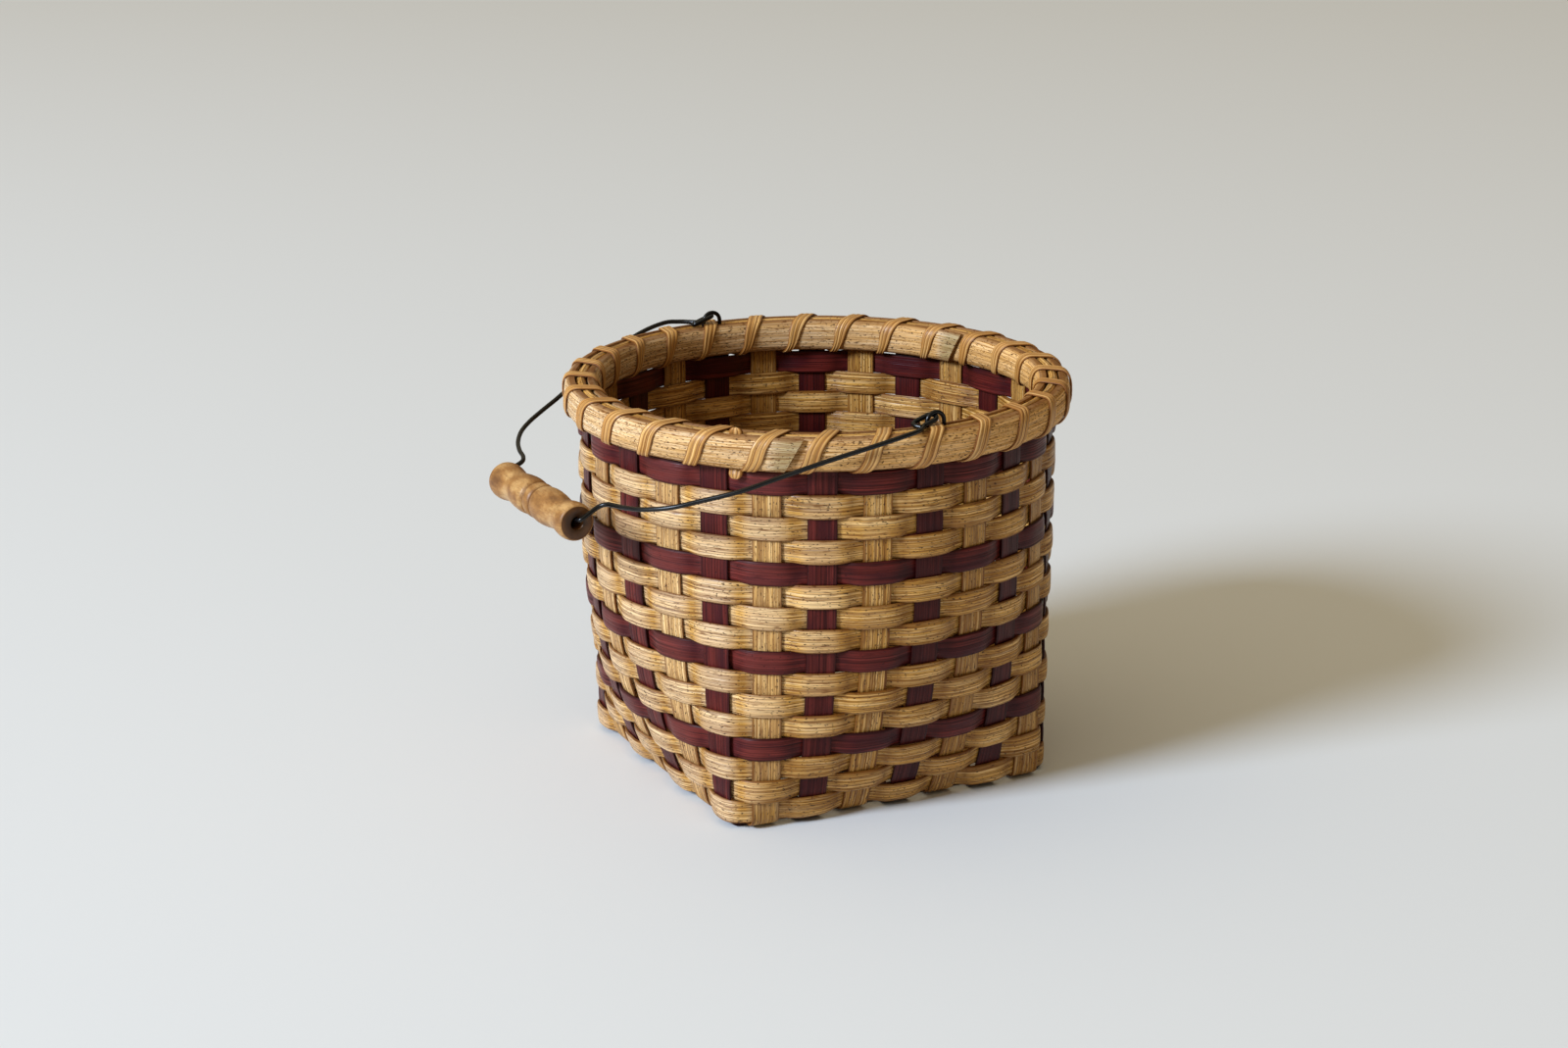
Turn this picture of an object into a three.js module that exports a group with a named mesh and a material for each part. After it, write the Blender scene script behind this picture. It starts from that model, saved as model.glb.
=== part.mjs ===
// Snack basket: a plain-woven reed basket with a square foot, a round lashed rim and a swinging wire bail.
// Millimetres, +Z up. The origin is the middle of the woven base, where it stands on the table.
// Front is -Y and the bail turns about the Y axis. At rest it lies folded down on the -X side.
import * as THREE from "three";

// Reed stock
const STAKE_WIDTH = 12.7;
const STAKE_THICK = 1.1;
const WEAVER_WIDTH = 9.5;
const WEAVER_THICK = 1.7;
const WEAVER_EDGE_ROUND = 1.1; // how much narrower the oval outer face is at each edge
const WEAVE_GAP = 0.2; // air between strips that press on each other in the real basket
const LASH_WIDTH = 4.8;
const LASH_THICK = 1.0;
const LASH_GAP = 0.3;
const LASH_LEAN = 36; // degrees from upright, where it climbs a face of the rim
const LASH_START = -0.43; // the space where it starts, counted in stakes
const LASH_TAIL = 4.5; // how far its first end hangs below the rim

// Layout of the weave
const PER_SIDE = 7;
const SIDES = 4;
const STAKE_ENDS = PER_SIDE * SIDES;
const BASE_PITCH = 21.8;
const BASE_HALF = 78.8; // middle of the wall's thickness at its foot
const RIM_RADIUS = 105.5; // the same at the top
const ROWS = 16;
const ROW_PITCH = 10.02;
const WALL_FOOT = 3.0;
const FLARE = 3.1; // power of the curve by which the square foot opens to the round rim
const DYED_ROW_EVERY = 4;

// Rim
const RIM_BOTTOM = 164.8;
const RIM_HEIGHT = 14.8;
const RIM_TOP = RIM_BOTTOM + RIM_HEIGHT;
const RIM_MIDDLE = (RIM_BOTTOM + RIM_TOP) / 2;
const HOOP_THICK = 4.9;
const HOOP_SHOULDER = 2.3; // how far the oval face falls back at the hoop's edges
const HOOP_SHOULDER_HEIGHT = 3.2;
const OUTER_HOOP_FACE = 108.7; // the flat face that lies against the wall
const INNER_HOOP_FACE = 102.75;
const HOOP_STEPS = 56;
const HOOP_LAP = 22; // degrees of overlap where a hoop's pared ends meet
const HOOP_TIP = 1.6; // thickness left at the end that shows
const LAP_START = 0.25; // share of the lap at which the covered end starts
const LAP_GAP = 0.3;
const SCARF = 1.5; // degrees over which the hoop comes back to its full thickness beside the lap
const CUT_SKEW = 2.2; // degrees by which the end's slanting cut leans each way
const OUTER_LAP_STAKE = 0.52; // place of the visible end, counted in stakes
const INNER_LAP_STAKE = 11.7;
const FILLER_RADIUS = 1.6;
const FILLER_RING = 106.7;
const STAKE_TOP = 175.6;
const RIM_ROW_BOTTOM = 165.4;

// Bail, ears and grip
const WIRE_RADIUS = 1.05;
const PIVOT_HEIGHT = 183.4;
const PIVOT_REACH = 103.7; // from the basket's axis to each ear
const PIVOT_TURN = 1.85; // degrees by which the ears stand turned from the Y axis
const BAIL_REST = 18.16; // degrees below level
const EYE_HALF = 2.4;
const EYE_LENGTH = 7.2;
const WIRE_AT_GRIP = 142.13;
const EAR_RADIUS = 0.95;
const EAR_HALF_SPAN = 4.4;
const EAR_DROP = 2.05; // the ear's arch is centred this far below the pivot
const EAR_FOOT = 166.5;
const GRIP_LENGTH = 77;
const GRIP_BORE = 2.6;
const GRIP_HANG = 1.35; // the grip hangs this far below its wire, on the wall of its bore
const GRIP_SHIFT = 4.4; // the bail was bent by hand, so its grip stands this far towards the rear
const WIRE_SIDES = 6;
const GRIP_SIDES = 18;

const RAD = Math.PI / 180;
const Z = new THREE.Vector3(0, 0, 1);

const reed = (color, roughness) => new THREE.MeshStandardMaterial({ color, roughness, metalness: 0 });
const materials = {
  natural: reed("#c39a5c", 0.6),
  dyed: reed("#571f2b", 0.55),
  hoop: reed("#c9a067", 0.6),
  lashing: reed("#c7995e", 0.5),
  filler: reed("#b98d52", 0.7),
  grip: reed("#b98547", 0.55),
  wire: new THREE.MeshStandardMaterial({ color: "#1b1b1d", roughness: 0.35, metalness: 0.6 }),
};

// A closed body through a row of equal-sided sections. A ring joins its last section to its first.
function loft(sections, ring = false) {
  const sides = sections[0].length;
  const position = sections.flat().flatMap((p) => [p.x, p.y, p.z]);
  const index = [];
  const spans = ring ? sections.length : sections.length - 1;
  for (let i = 0; i < spans; i++) {
    const a = i * sides;
    const b = ((i + 1) % sections.length) * sides;
    for (let j = 0; j < sides; j++) {
      const k = (j + 1) % sides;
      index.push(a + j, b + j, a + k, a + k, b + j, b + k);
    }
  }
  if (!ring) {
    const last = (sections.length - 1) * sides;
    for (let j = 1; j < sides - 1; j++) {
      index.push(0, j, j + 1);
      index.push(last, last + j + 1, last + j);
    }
  }
  const geometry = new THREE.BufferGeometry();
  geometry.setAttribute("position", new THREE.Float32BufferAttribute(position, 3));
  geometry.setIndex(index);
  geometry.computeVertexNormals();
  return geometry;
}

// A round wire along points that lie close to one plane.
function wire(points, radius, planeNormal) {
  const sections = points.map((point, i) => {
    const before = points[Math.max(i - 1, 0)];
    const after = points[Math.min(i + 1, points.length - 1)];
    const along = after.clone().sub(before).normalize();
    const across = along.clone().cross(planeNormal).normalize();
    const upright = across.clone().cross(along);
    return Array.from({ length: WIRE_SIDES }, (_, j) => {
      const turn = (j * 2 * Math.PI) / WIRE_SIDES;
      return point
        .clone()
        .addScaledVector(across, radius * Math.cos(turn))
        .addScaledVector(upright, radius * Math.sin(turn));
    });
  });
  return loft(sections);
}

// How far the wall has opened from square to round at a height.
// It is straight between these rows, so that stakes and weavers share the same flats.
const KNOT_ROWS = [0, 1, 2, 3, 4, 5, 6, 7, 9, 11, 16];
const openingAtRow = (row) => 1 - (1 - row / ROWS) ** FLARE;

function opening(z) {
  const row = THREE.MathUtils.clamp((z - WALL_FOOT) / ROW_PITCH, 0, ROWS);
  const upper = KNOT_ROWS.findIndex((knot) => knot >= row) || 1;
  const [low, high] = [KNOT_ROWS[upper - 1], KNOT_ROWS[upper]];
  return THREE.MathUtils.lerp(openingAtRow(low), openingAtRow(high), (row - low) / (high - low));
}

const stakeAngle = (stake) => ((stake - (PER_SIDE - 1) / 2) * 360) / STAKE_ENDS - 90;

// Where stake end k meets height z: the middle of the wall, the way out of it and the way along it.
function wallFrame(k, z) {
  const side = Math.floor(k / PER_SIDE);
  const place = (k % PER_SIDE) - (PER_SIDE - 1) / 2;
  const open = opening(z);
  const foot = new THREE.Vector3(place * BASE_PITCH, -BASE_HALF, 0).applyAxisAngle(Z, side * 90 * RAD);
  const rimTurn = stakeAngle(k) * RAD;
  const rim = new THREE.Vector3(RIM_RADIUS * Math.cos(rimTurn), RIM_RADIUS * Math.sin(rimTurn), 0);
  const turn = THREE.MathUtils.lerp(side * 90 - 90, stakeAngle(k), open) * RAD;
  return {
    point: foot.lerp(rim, open).setZ(z),
    out: new THREE.Vector3(Math.cos(turn), Math.sin(turn), 0),
    along: new THREE.Vector3(-Math.sin(turn), Math.cos(turn), 0),
  };
}

// A flat strip's section: its middle, its width direction and its outer direction.
function stripSection(point, wide, out, width, thick) {
  return [
    [-1, 1],
    [1, 1],
    [1, -1],
    [-1, -1],
  ].map(([u, v]) =>
    point
      .clone()
      .addScaledVector(wide, (u * width) / 2)
      .addScaledVector(out, (v * thick) / 2),
  );
}

// One stake: up one wall, across the base over and under the seven stakes that cross it, and up the opposite wall.
const BASE_LOW = STAKE_THICK / 2;
const BASE_HIGH = BASE_LOW + STAKE_THICK + WEAVE_GAP;
const BASE_MIDDLE = (BASE_LOW + BASE_HIGH) / 2;
const BEND_START = 2.6;
const BEND_MIDDLE = { inset: 0.35, height: 1.55 };

function stake(endDown, endUp, isOver) {
  const climb = (k) => {
    const foot = wallFrame(k, WALL_FOOT);
    const bend = (inset, height) => foot.point.clone().addScaledVector(foot.out, -inset).setZ(height);
    const slantOut = foot.out.clone().sub(Z).normalize();
    const heights = [...KNOT_ROWS.map((row) => WALL_FOOT + row * ROW_PITCH), STAKE_TOP];
    return [
      { point: bend(BEND_START, BASE_MIDDLE), wide: foot.along, out: Z.clone().negate() },
      { point: bend(BEND_MIDDLE.inset, BEND_MIDDLE.height), wide: foot.along, out: slantOut },
      ...heights.map((z) => {
        const at = wallFrame(k, z);
        return { point: at.point, wide: at.along, out: at.out };
      }),
    ];
  };
  const down = climb(endDown).reverse();
  const up = climb(endUp);
  // Seen from the far wall the way along the wall runs backwards, so the width is turned to match.
  up.forEach((section) => section.wide.negate());
  const start = down[down.length - 1].point;
  const travel = up[0].point.clone().sub(start).setZ(0).normalize();
  const centre = up[0].point.clone().add(start).multiplyScalar(0.5).setZ(0);
  const across = [];
  const clearOfStake = STAKE_WIDTH / 2 + 0.6;
  for (let j = 0; j < PER_SIDE; j++) {
    const crossing = (j - (PER_SIDE - 1) / 2) * BASE_PITCH;
    const height = isOver(j) ? BASE_HIGH : BASE_LOW;
    for (const edge of [-clearOfStake, clearOfStake]) {
      const point = centre.clone().addScaledVector(travel, crossing + edge).setZ(height);
      across.push({ point, wide: down[0].wide.clone(), out: Z.clone().negate() });
    }
  }
  const wide = down[down.length - 1].wide;
  across.forEach((section) => section.wide.copy(wide));
  const sections = [...down, ...across, ...up].map((s) =>
    stripSection(s.point, s.wide, s.out, STAKE_WIDTH, STAKE_THICK),
  );
  return loft(sections);
}

// One row of weaving: a strip that passes outside and inside the stakes in turn.
const WEAVE_OFFSET = (STAKE_THICK + WEAVER_THICK) / 2 + WEAVE_GAP;
const CLEAR_OF_EDGE = STAKE_WIDTH / 2 + 0.65;

function weaver(bottom, outsideOfStake) {
  const top = bottom + WEAVER_WIDTH;
  const sections = [];
  for (let k = 0; k < STAKE_ENDS; k++) {
    const offset = outsideOfStake(k) ? WEAVE_OFFSET : -WEAVE_OFFSET;
    for (const edge of [-CLEAR_OF_EDGE, CLEAR_OF_EDGE]) {
      const corner = (z, depth) => {
        const at = wallFrame(k, z);
        return at.point.addScaledVector(at.along, edge).addScaledVector(at.out, offset + depth);
      };
      sections.push([
        corner(bottom + WEAVER_EDGE_ROUND, WEAVER_THICK / 2),
        corner(top - WEAVER_EDGE_ROUND, WEAVER_THICK / 2),
        corner(top, -WEAVER_THICK / 2),
        corner(bottom, -WEAVER_THICK / 2),
      ]);
    }
  }
  return loft(sections, true);
}

// A rim hoop: a half-oval strip bent round, its two ends pared to long wedges that lie on each other.
// sense is 1 for the outer hoop, whose oval side faces out, and -1 for the inner one.
const HOOP_FLAT = HOOP_THICK - HOOP_SHOULDER; // depth at which the oval face starts to fall back
const HOOP_LEAST = 0.2;

function hoopSection(degreesAt, face, sense, from, to) {
  const fall = (depth) => (Math.max(0, depth - HOOP_FLAT) * HOOP_SHOULDER_HEIGHT) / HOOP_SHOULDER;
  const edge = THREE.MathUtils.clamp(HOOP_FLAT, from + HOOP_LEAST, to - HOOP_LEAST);
  const lower = [from, edge, to].map((depth) => [depth, RIM_BOTTOM + fall(depth)]);
  const upper = [to, edge, from].map((depth) => [depth, RIM_TOP - fall(depth)]);
  return [...lower, ...upper].map(([depth, z]) => {
    const turn = degreesAt(z) * RAD;
    const radius = face + sense * depth;
    return new THREE.Vector3(radius * Math.cos(turn), radius * Math.sin(turn), z);
  });
}

function hoop(face, sense, endStake) {
  // Degrees are counted from the end that shows, along the way the hoop is wound. The two are wound opposite ways.
  const end = stakeAngle(endStake);
  const bodyStart = CUT_SKEW + LAP_GAP - 360;
  // How deep the wedge of the covering end has been pared, at a share of the lap.
  const pared = (share) => share * (HOOP_THICK - HOOP_TIP);
  const sections = [];
  const stretch = (first, last, depths, skewAtEnd = 0) => {
    const steps = Math.ceil((last - first) / (360 / HOOP_STEPS));
    for (let i = 0; i <= steps; i++) {
      const share = i / steps;
      const [from, to] = depths(share);
      const skew = i === steps ? skewAtEnd : 0;
      const lean = (z) => (skew * (z - RIM_MIDDLE)) / (RIM_HEIGHT / 2);
      const degreesAt = (z) => end + sense * (THREE.MathUtils.lerp(first, last, share) + lean(z));
      sections.push(hoopSection(degreesAt, face, sense, from, to));
    }
  };
  const covered = (share) => [0, pared(THREE.MathUtils.lerp(LAP_START, 1, share)) - LAP_GAP];
  stretch(bodyStart - HOOP_LAP * (1 - LAP_START), bodyStart, covered);
  stretch(bodyStart + SCARF, -HOOP_LAP - SCARF, () => [0, HOOP_THICK]);
  stretch(-HOOP_LAP, 0, (share) => [pared(share), HOOP_THICK], CUT_SKEW);
  return loft(sections);
}

function fillerReed() {
  const z = RIM_TOP - FILLER_RADIUS - 0.2;
  const sections = Array.from({ length: HOOP_STEPS }, (_, i) => {
    const turn = (i * 2 * Math.PI) / HOOP_STEPS;
    return Array.from({ length: 6 }, (_, j) => {
      const roll = (j * Math.PI) / 3;
      const radius = FILLER_RING + FILLER_RADIUS * Math.cos(roll);
      return new THREE.Vector3(
        radius * Math.cos(turn),
        radius * Math.sin(turn),
        z + FILLER_RADIUS * Math.sin(roll),
      );
    });
  });
  return loft(sections, true);
}

// The lashing: one flat strip wound round both hoops, one turn in each space between stakes.
// It passes through the wall under the rim and leans forward by half a space on each face.
function lashing() {
  const lift = LASH_THICK / 2 + LASH_GAP;
  const outerShoulder = OUTER_HOOP_FACE + HOOP_FLAT;
  const innerShoulder = INNER_HOOP_FACE - HOOP_FLAT;
  const outerFace = OUTER_HOOP_FACE + HOOP_THICK;
  const innerFace = INNER_HOOP_FACE - HOOP_THICK;
  const slope = Math.atan2(HOOP_SHOULDER, HOOP_SHOULDER_HEIGHT);
  // share of the way to the next space, radius, height and the surface's direction in degrees above level
  const around = [
    [-0.05, innerShoulder, RIM_BOTTOM, -115],
    [0.05, outerShoulder, RIM_BOTTOM, -65],
    [0.13, outerFace, RIM_BOTTOM + HOOP_SHOULDER_HEIGHT, -slope / RAD / 2],
    [0.42, outerFace, RIM_TOP - HOOP_SHOULDER_HEIGHT, slope / RAD / 2],
    [0.5, outerShoulder, RIM_TOP, 65],
    [0.59, innerShoulder, RIM_TOP, 115],
    [0.66, innerFace, RIM_TOP - HOOP_SHOULDER_HEIGHT, 180 - slope / RAD / 2],
    [0.88, innerFace, RIM_BOTTOM + HOOP_SHOULDER_HEIGHT, 180 + slope / RAD / 2],
  ];
  const at = ([share, radius, z, facing], turn) => {
    const angle = stakeAngle(turn + share) * RAD;
    const outward = new THREE.Vector3(Math.cos(angle), Math.sin(angle), 0);
    const normal = outward.clone().multiplyScalar(Math.cos(facing * RAD)).setZ(Math.sin(facing * RAD));
    const backwards = outward.clone().cross(Z);
    return { point: outward.multiplyScalar(radius).setZ(z).addScaledVector(normal, lift), normal, backwards };
  };
  // The strip starts as a short tail outside and ends inside the wall behind it.
  const tail = [
    [-0.04, outerFace - 1.3, RIM_BOTTOM - LASH_TAIL, 8],
    [0.05, outerFace - 0.6, RIM_BOTTOM, 0],
  ];
  const ending = [
    [-0.05, innerShoulder, RIM_BOTTOM, -115],
    [-0.02, RIM_RADIUS - 0.3, RIM_BOTTOM - 0.3, -90],
  ];
  const path = [...tail, ...around.slice(2)].map((p) => at(p, LASH_START));
  for (let k = 1; k < STAKE_ENDS; k++) path.push(...around.map((p) => at(p, LASH_START + k)));
  path.push(...ending.map((p) => at(p, LASH_START + STAKE_ENDS)));
  // The strip folds along lines that run with the rim, so its sections are taken along them.
  const sections = path.map(({ point, normal, backwards }) =>
    stripSection(point, backwards, normal, LASH_WIDTH / Math.cos(LASH_LEAN * RAD), LASH_THICK),
  );
  return loft(sections);
}

// An ear: a wire staple pushed down between the wall and the inner hoop, its arch standing above the rim.
function ear() {
  const centre = PIVOT_HEIGHT - EAR_DROP;
  const path = new THREE.Path();
  path.moveTo(-EAR_HALF_SPAN, EAR_FOOT);
  path.lineTo(-EAR_HALF_SPAN, centre);
  path.absarc(0, centre, EAR_HALF_SPAN, Math.PI, 0, true);
  path.lineTo(EAR_HALF_SPAN, EAR_FOOT);
  const points = path.getPoints(6).map((p) => new THREE.Vector3(p.x, 0, p.y));
  return wire(points, EAR_RADIUS, new THREE.Vector3(0, 1, 0));
}

// The bail's two arms from the eye to the shoulder beside the grip: distance from the pivot axis, distance from
// the basket's middle and height over the bail's plane. Each rides over the rim's outer edge before it droops.
const OVER_RIM = [
  [9.6, 108.9, 0.6],
  [13.5, 112.2, 1.8],
  [20, 114.4, 3.6],
];
const FRONT_ARM = [
  ...OVER_RIM,
  [33, 112.8, 4.9],
  [55, 104.6, 5.2],
  [75, 95.5, 4.2],
  [88.5, 89.8, 3.7],
  [102, 80.5, 3.3],
  [113.5, 72, 3.1],
  [121.5, 61.5, 3],
  [125.6, 52, 3],
  [127.6, 43.5, 2.8],
  [129, 38.8, 2.6],
  [132, 36.4, 2.2],
  [137, 36.2, 1.2],
  [140.8, 35.9, 0.3],
];
const REAR_ARM = [
  ...OVER_RIM,
  [33, 113.6, 4.6],
  [55, 108, 4.6],
  [72, 100.5, 3.6],
  [89, 91, 3],
  [100.8, 85.2, 2.9],
  [110.6, 80, 2.8],
  [118, 74, 2.6],
  [123.6, 66, 2.1],
  [126.8, 58, 1.5],
  [128.4, 51, 1],
  [131, 47, 0.7],
  [136, 46.6, 0.3],
  [140.6, 46, 0],
];

// Half of the bail, from its eye's hooked end to the mouth of the grip's bore. side is -1 in front and 1 behind.
function bailHalf(arm, side) {
  const eyeFar = PIVOT_REACH + EYE_HALF;
  const eyeNear = PIVOT_REACH - EYE_HALF;
  const eye = new THREE.Path();
  eye.moveTo(EYE_LENGTH + 3.2, eyeFar - 2 * WIRE_RADIUS - 0.35);
  eye.quadraticCurveTo(EYE_LENGTH + 2.2, eyeNear, EYE_LENGTH, eyeNear);
  eye.lineTo(EYE_HALF, eyeNear);
  eye.absarc(EYE_HALF, PIVOT_REACH, EYE_HALF, (3 * Math.PI) / 2, Math.PI / 2, true);
  const hook = (x) => Math.max(0, x - EYE_LENGTH) * 0.3; // the hooked end rises clear of the rim
  const loop = eye.getPoints(2).map((p) => [p.x, p.y, hook(p.x)]);
  const at = ([x, y, z]) => new THREE.Vector3(-x, side * y, z);
  const gripEnd = GRIP_LENGTH / 2 + side * GRIP_SHIFT;
  const spline = new THREE.CatmullRomCurve3([[EYE_LENGTH, eyeFar, 0], ...arm].map(at));
  return [...loop.map(at), ...spline.getPoints(2 * arm.length), at([WIRE_AT_GRIP, gripEnd, 0])];
}

function bailWire() {
  const points = [...bailHalf(FRONT_ARM, -1), ...bailHalf(REAR_ARM, 1).reverse()];
  return wire(points, WIRE_RADIUS, Z);
}

// The grip: a turned wooden tube with a bead between two grooves, a belly each side and flared ends.
function grip() {
  const half = GRIP_LENGTH / 2;
  // distance from the middle and radius, from one end to the middle
  const turned = [
    [half, 7.2],
    [half - 1.2, 8.1],
    [half - 5, 8.4],
    [half - 10, 7.7],
    [half - 15, 7.1],
    [half - 21, 7.9],
    [half - 27, 8.3],
    [6, 8.1],
    [4.4, 7.7],
    [3.4, 6.8],
    [2.4, 7.6],
    [0.9, 8],
  ];
  const side = (sign) => turned.map(([y, radius]) => new THREE.Vector2(radius, sign * y));
  const bore = (y) => new THREE.Vector2(GRIP_BORE, y);
  const profile = [bore(-half), ...side(-1), ...side(1).reverse(), bore(half), bore(-half)];
  return new THREE.LatheGeometry(profile, GRIP_SIDES);
}

const basket = new THREE.Group();

function place(parent, name, geometry, material) {
  const mesh = new THREE.Mesh(geometry, material);
  mesh.name = name;
  parent.add(mesh);
  return mesh;
}

// Stake ends are counted anticlockwise from the front wall's left end, and every other one is dyed.
const isDyed = (k) => k % 2 === 1;

for (let i = 0; i < PER_SIDE; i++) {
  const frontEnd = i;
  const rearEnd = 3 * PER_SIDE - 1 - i;
  const frontToRear = stake(frontEnd, rearEnd, (j) => (i + j) % 2 === 0);
  place(basket, `stake_front_rear_${i + 1}`, frontToRear, isDyed(frontEnd) ? materials.dyed : materials.natural);

  const leftEnd = STAKE_ENDS - 1 - i;
  const rightEnd = PER_SIDE + i;
  const leftToRight = stake(leftEnd, rightEnd, (j) => (i + j) % 2 === 1);
  place(basket, `stake_left_right_${i + 1}`, leftToRight, isDyed(leftEnd) ? materials.dyed : materials.natural);
}

const ROW_MARGIN = (ROW_PITCH - WEAVER_WIDTH) / 2;
for (let row = 1; row <= ROWS; row++) {
  const bottom = WALL_FOOT + (row - 1) * ROW_PITCH + ROW_MARGIN;
  const fromTop = ROWS - row;
  // The top row passes outside the natural stakes, the next one outside the dyed ones.
  const geometry = weaver(bottom, (k) => isDyed(k) === (fromTop % 2 === 1));
  const material = fromTop % DYED_ROW_EVERY === 0 ? materials.dyed : materials.natural;
  place(basket, `weaver_row_${String(row).padStart(2, "0")}`, geometry, material);
}
place(basket, "rim_row_weaver", weaver(RIM_ROW_BOTTOM, isDyed), materials.natural);

place(basket, "outer_rim_hoop", hoop(OUTER_HOOP_FACE, 1, OUTER_LAP_STAKE), materials.hoop);
place(basket, "inner_rim_hoop", hoop(INNER_HOOP_FACE, -1, INNER_LAP_STAKE), materials.hoop);
place(basket, "rim_filler_reed", fillerReed(), materials.filler);
place(basket, "rim_lashing", lashing(), materials.lashing);

const pivots = new THREE.Group();
pivots.rotation.z = PIVOT_TURN * RAD;
basket.add(pivots);
place(pivots, "front_ear", ear(), materials.wire).position.y = -PIVOT_REACH;
place(pivots, "rear_ear", ear(), materials.wire).position.y = PIVOT_REACH;

const bail = new THREE.Group();
bail.position.z = PIVOT_HEIGHT;
bail.rotation.y = -BAIL_REST * RAD;
pivots.add(bail);
place(bail, "bail_wire", bailWire(), materials.wire);
const turnedGrip = place(bail, "wooden_grip", grip(), materials.grip);
// Straight down at rest, written in the bail's own tilted axes.
turnedGrip.position.set(
  -WIRE_AT_GRIP - GRIP_HANG * Math.sin(BAIL_REST * RAD),
  GRIP_SHIFT,
  -GRIP_HANG * Math.cos(BAIL_REST * RAD),
);

export default basket;
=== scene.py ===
"""Snack basket: square foot, round lashed rim, woven from flat reed, with a wire bail and a turned grip.

Sizes are in millimetres, as the weaver measures them, and become metres when a mesh is made.
The origin is the middle of the base, +Z is up, and the bail turns about an axis close to Y.
"""

from __future__ import annotations

import logging
import math
from collections.abc import Callable
from dataclasses import dataclass, field
from enum import Enum
from functools import partial

import bmesh
import bpy
import numpy as np
from mathutils import Matrix, Vector

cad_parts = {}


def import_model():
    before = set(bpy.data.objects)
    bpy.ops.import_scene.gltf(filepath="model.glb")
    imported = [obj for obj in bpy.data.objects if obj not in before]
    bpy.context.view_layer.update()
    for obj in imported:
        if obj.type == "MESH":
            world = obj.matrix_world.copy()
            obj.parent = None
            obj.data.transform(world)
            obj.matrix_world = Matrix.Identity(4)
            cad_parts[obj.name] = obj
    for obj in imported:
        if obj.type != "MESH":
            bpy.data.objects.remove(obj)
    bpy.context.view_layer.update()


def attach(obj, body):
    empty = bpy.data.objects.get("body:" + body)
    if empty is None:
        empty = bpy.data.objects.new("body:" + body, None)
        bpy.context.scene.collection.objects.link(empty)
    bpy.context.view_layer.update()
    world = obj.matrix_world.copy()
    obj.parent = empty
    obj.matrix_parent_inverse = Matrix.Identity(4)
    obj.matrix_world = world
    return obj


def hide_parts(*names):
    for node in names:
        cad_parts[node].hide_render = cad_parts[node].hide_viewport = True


log = logging.getLogger("snack_basket")

MM = 0.001
UP = np.array([0.0, 0.0, 1.0])
FLATTEN = np.array([1.0, 1.0, 0.0])

Knots = tuple[tuple[float, float, float], ...]
Span = tuple[float, float]

# The node types that are used most
MATH = "ShaderNodeMath"
VECTOR = "ShaderNodeVectorMath"
COMBINE = "ShaderNodeCombineXYZ"
NOISE = "ShaderNodeTexNoise"
RAMP = "ShaderNodeValToRGB"
RANGE = "ShaderNodeMapRange"
MIX = "ShaderNodeMix"
ATTRIBUTE = "ShaderNodeAttribute"
PRINCIPLED = "ShaderNodeBsdfPrincipled"
OUTPUT = "ShaderNodeOutputMaterial"


def linear(hex_colour: str) -> tuple[float, float, float, float]:
    """Turns an sRGB hex colour into the linear colour that a socket takes.

    Args:
        hex_colour: six hex digits after a hash sign.

    Returns:
        Red, green, blue and an alpha of 1.
    """
    parts = [int(hex_colour[i : i + 2], 16) / 255 for i in (1, 3, 5)]
    # The sRGB curve is straight near black, and a power above that.
    return tuple(p / 12.92 if p <= 0.04045 else ((p + 0.055) / 1.055) ** 2.4 for p in parts) + (1.0,)


def add(
    tree: bpy.types.NodeTree,
    kind: str,
    inputs: dict | list | None = None,
    stops: list[tuple[float, str]] | None = None,
    **settings: object,
) -> bpy.types.Node:
    """Adds a node to a tree with its settings, values and links.

    Args:
        tree: the node tree.
        kind: the node's type name.
        inputs: what goes into the sockets that the settings switch on, by name or in order: a node, whose
            first output counts, a socket, or a value.
        stops: places and hex colours, for a colour ramp.
        settings: properties of the node itself.

    Returns:
        The node.
    """
    node = tree.nodes.new(kind)
    for name, value in settings.items():
        setattr(node, name, value)
    shown = [socket for socket in node.inputs if socket.enabled]
    named = {socket.name: socket for socket in reversed(shown)}
    pairs = inputs.items() if isinstance(inputs, dict) else enumerate(inputs or [])
    for key, value in pairs:
        socket = named[key] if isinstance(key, str) else shown[key]
        if isinstance(value, bpy.types.Node):
            value = next(output for output in value.outputs if output.enabled)
        if isinstance(value, bpy.types.NodeSocket):
            tree.links.new(value, socket)
        else:
            socket.default_value = value
    if stops:
        elements = node.color_ramp.elements
        while len(elements) < len(stops):
            elements.new(1.0)
        for element, (place, colour) in zip(elements, stops):
            element.position = place
            element.color = linear(colour)
    return node


def new_material(name: str) -> tuple[bpy.types.Material, Callable[..., bpy.types.Node]]:
    """Starts a material with an empty node tree.

    Args:
        name: the material's name.

    Returns:
        The material, and the way to add nodes to it.
    """
    material = bpy.data.materials.new(name)
    material.use_nodes = True
    material.node_tree.nodes.clear()
    return material, partial(add, material.node_tree)


def linked(name: str, data: bpy.types.ID) -> bpy.types.Object:
    """Makes an object at the origin and links it into the scene.

    Args:
        name: the object's name.
        data: its mesh, camera or lamp.

    Returns:
        The object.
    """
    made = bpy.data.objects.new(name, data)
    bpy.context.scene.collection.objects.link(made)
    return made


def seat(piece: bpy.types.Object, body: str, node: str) -> None:
    """Makes a piece ride on a body in place of a solid, and reports it.

    Args:
        piece: the finished object.
        body: the body it moves with.
        node: the solid that it stands for.
    """
    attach(piece, body)
    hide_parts(node)
    log.info("%s: %d faces on %s", piece.name, len(piece.data.polygons), body)


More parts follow.
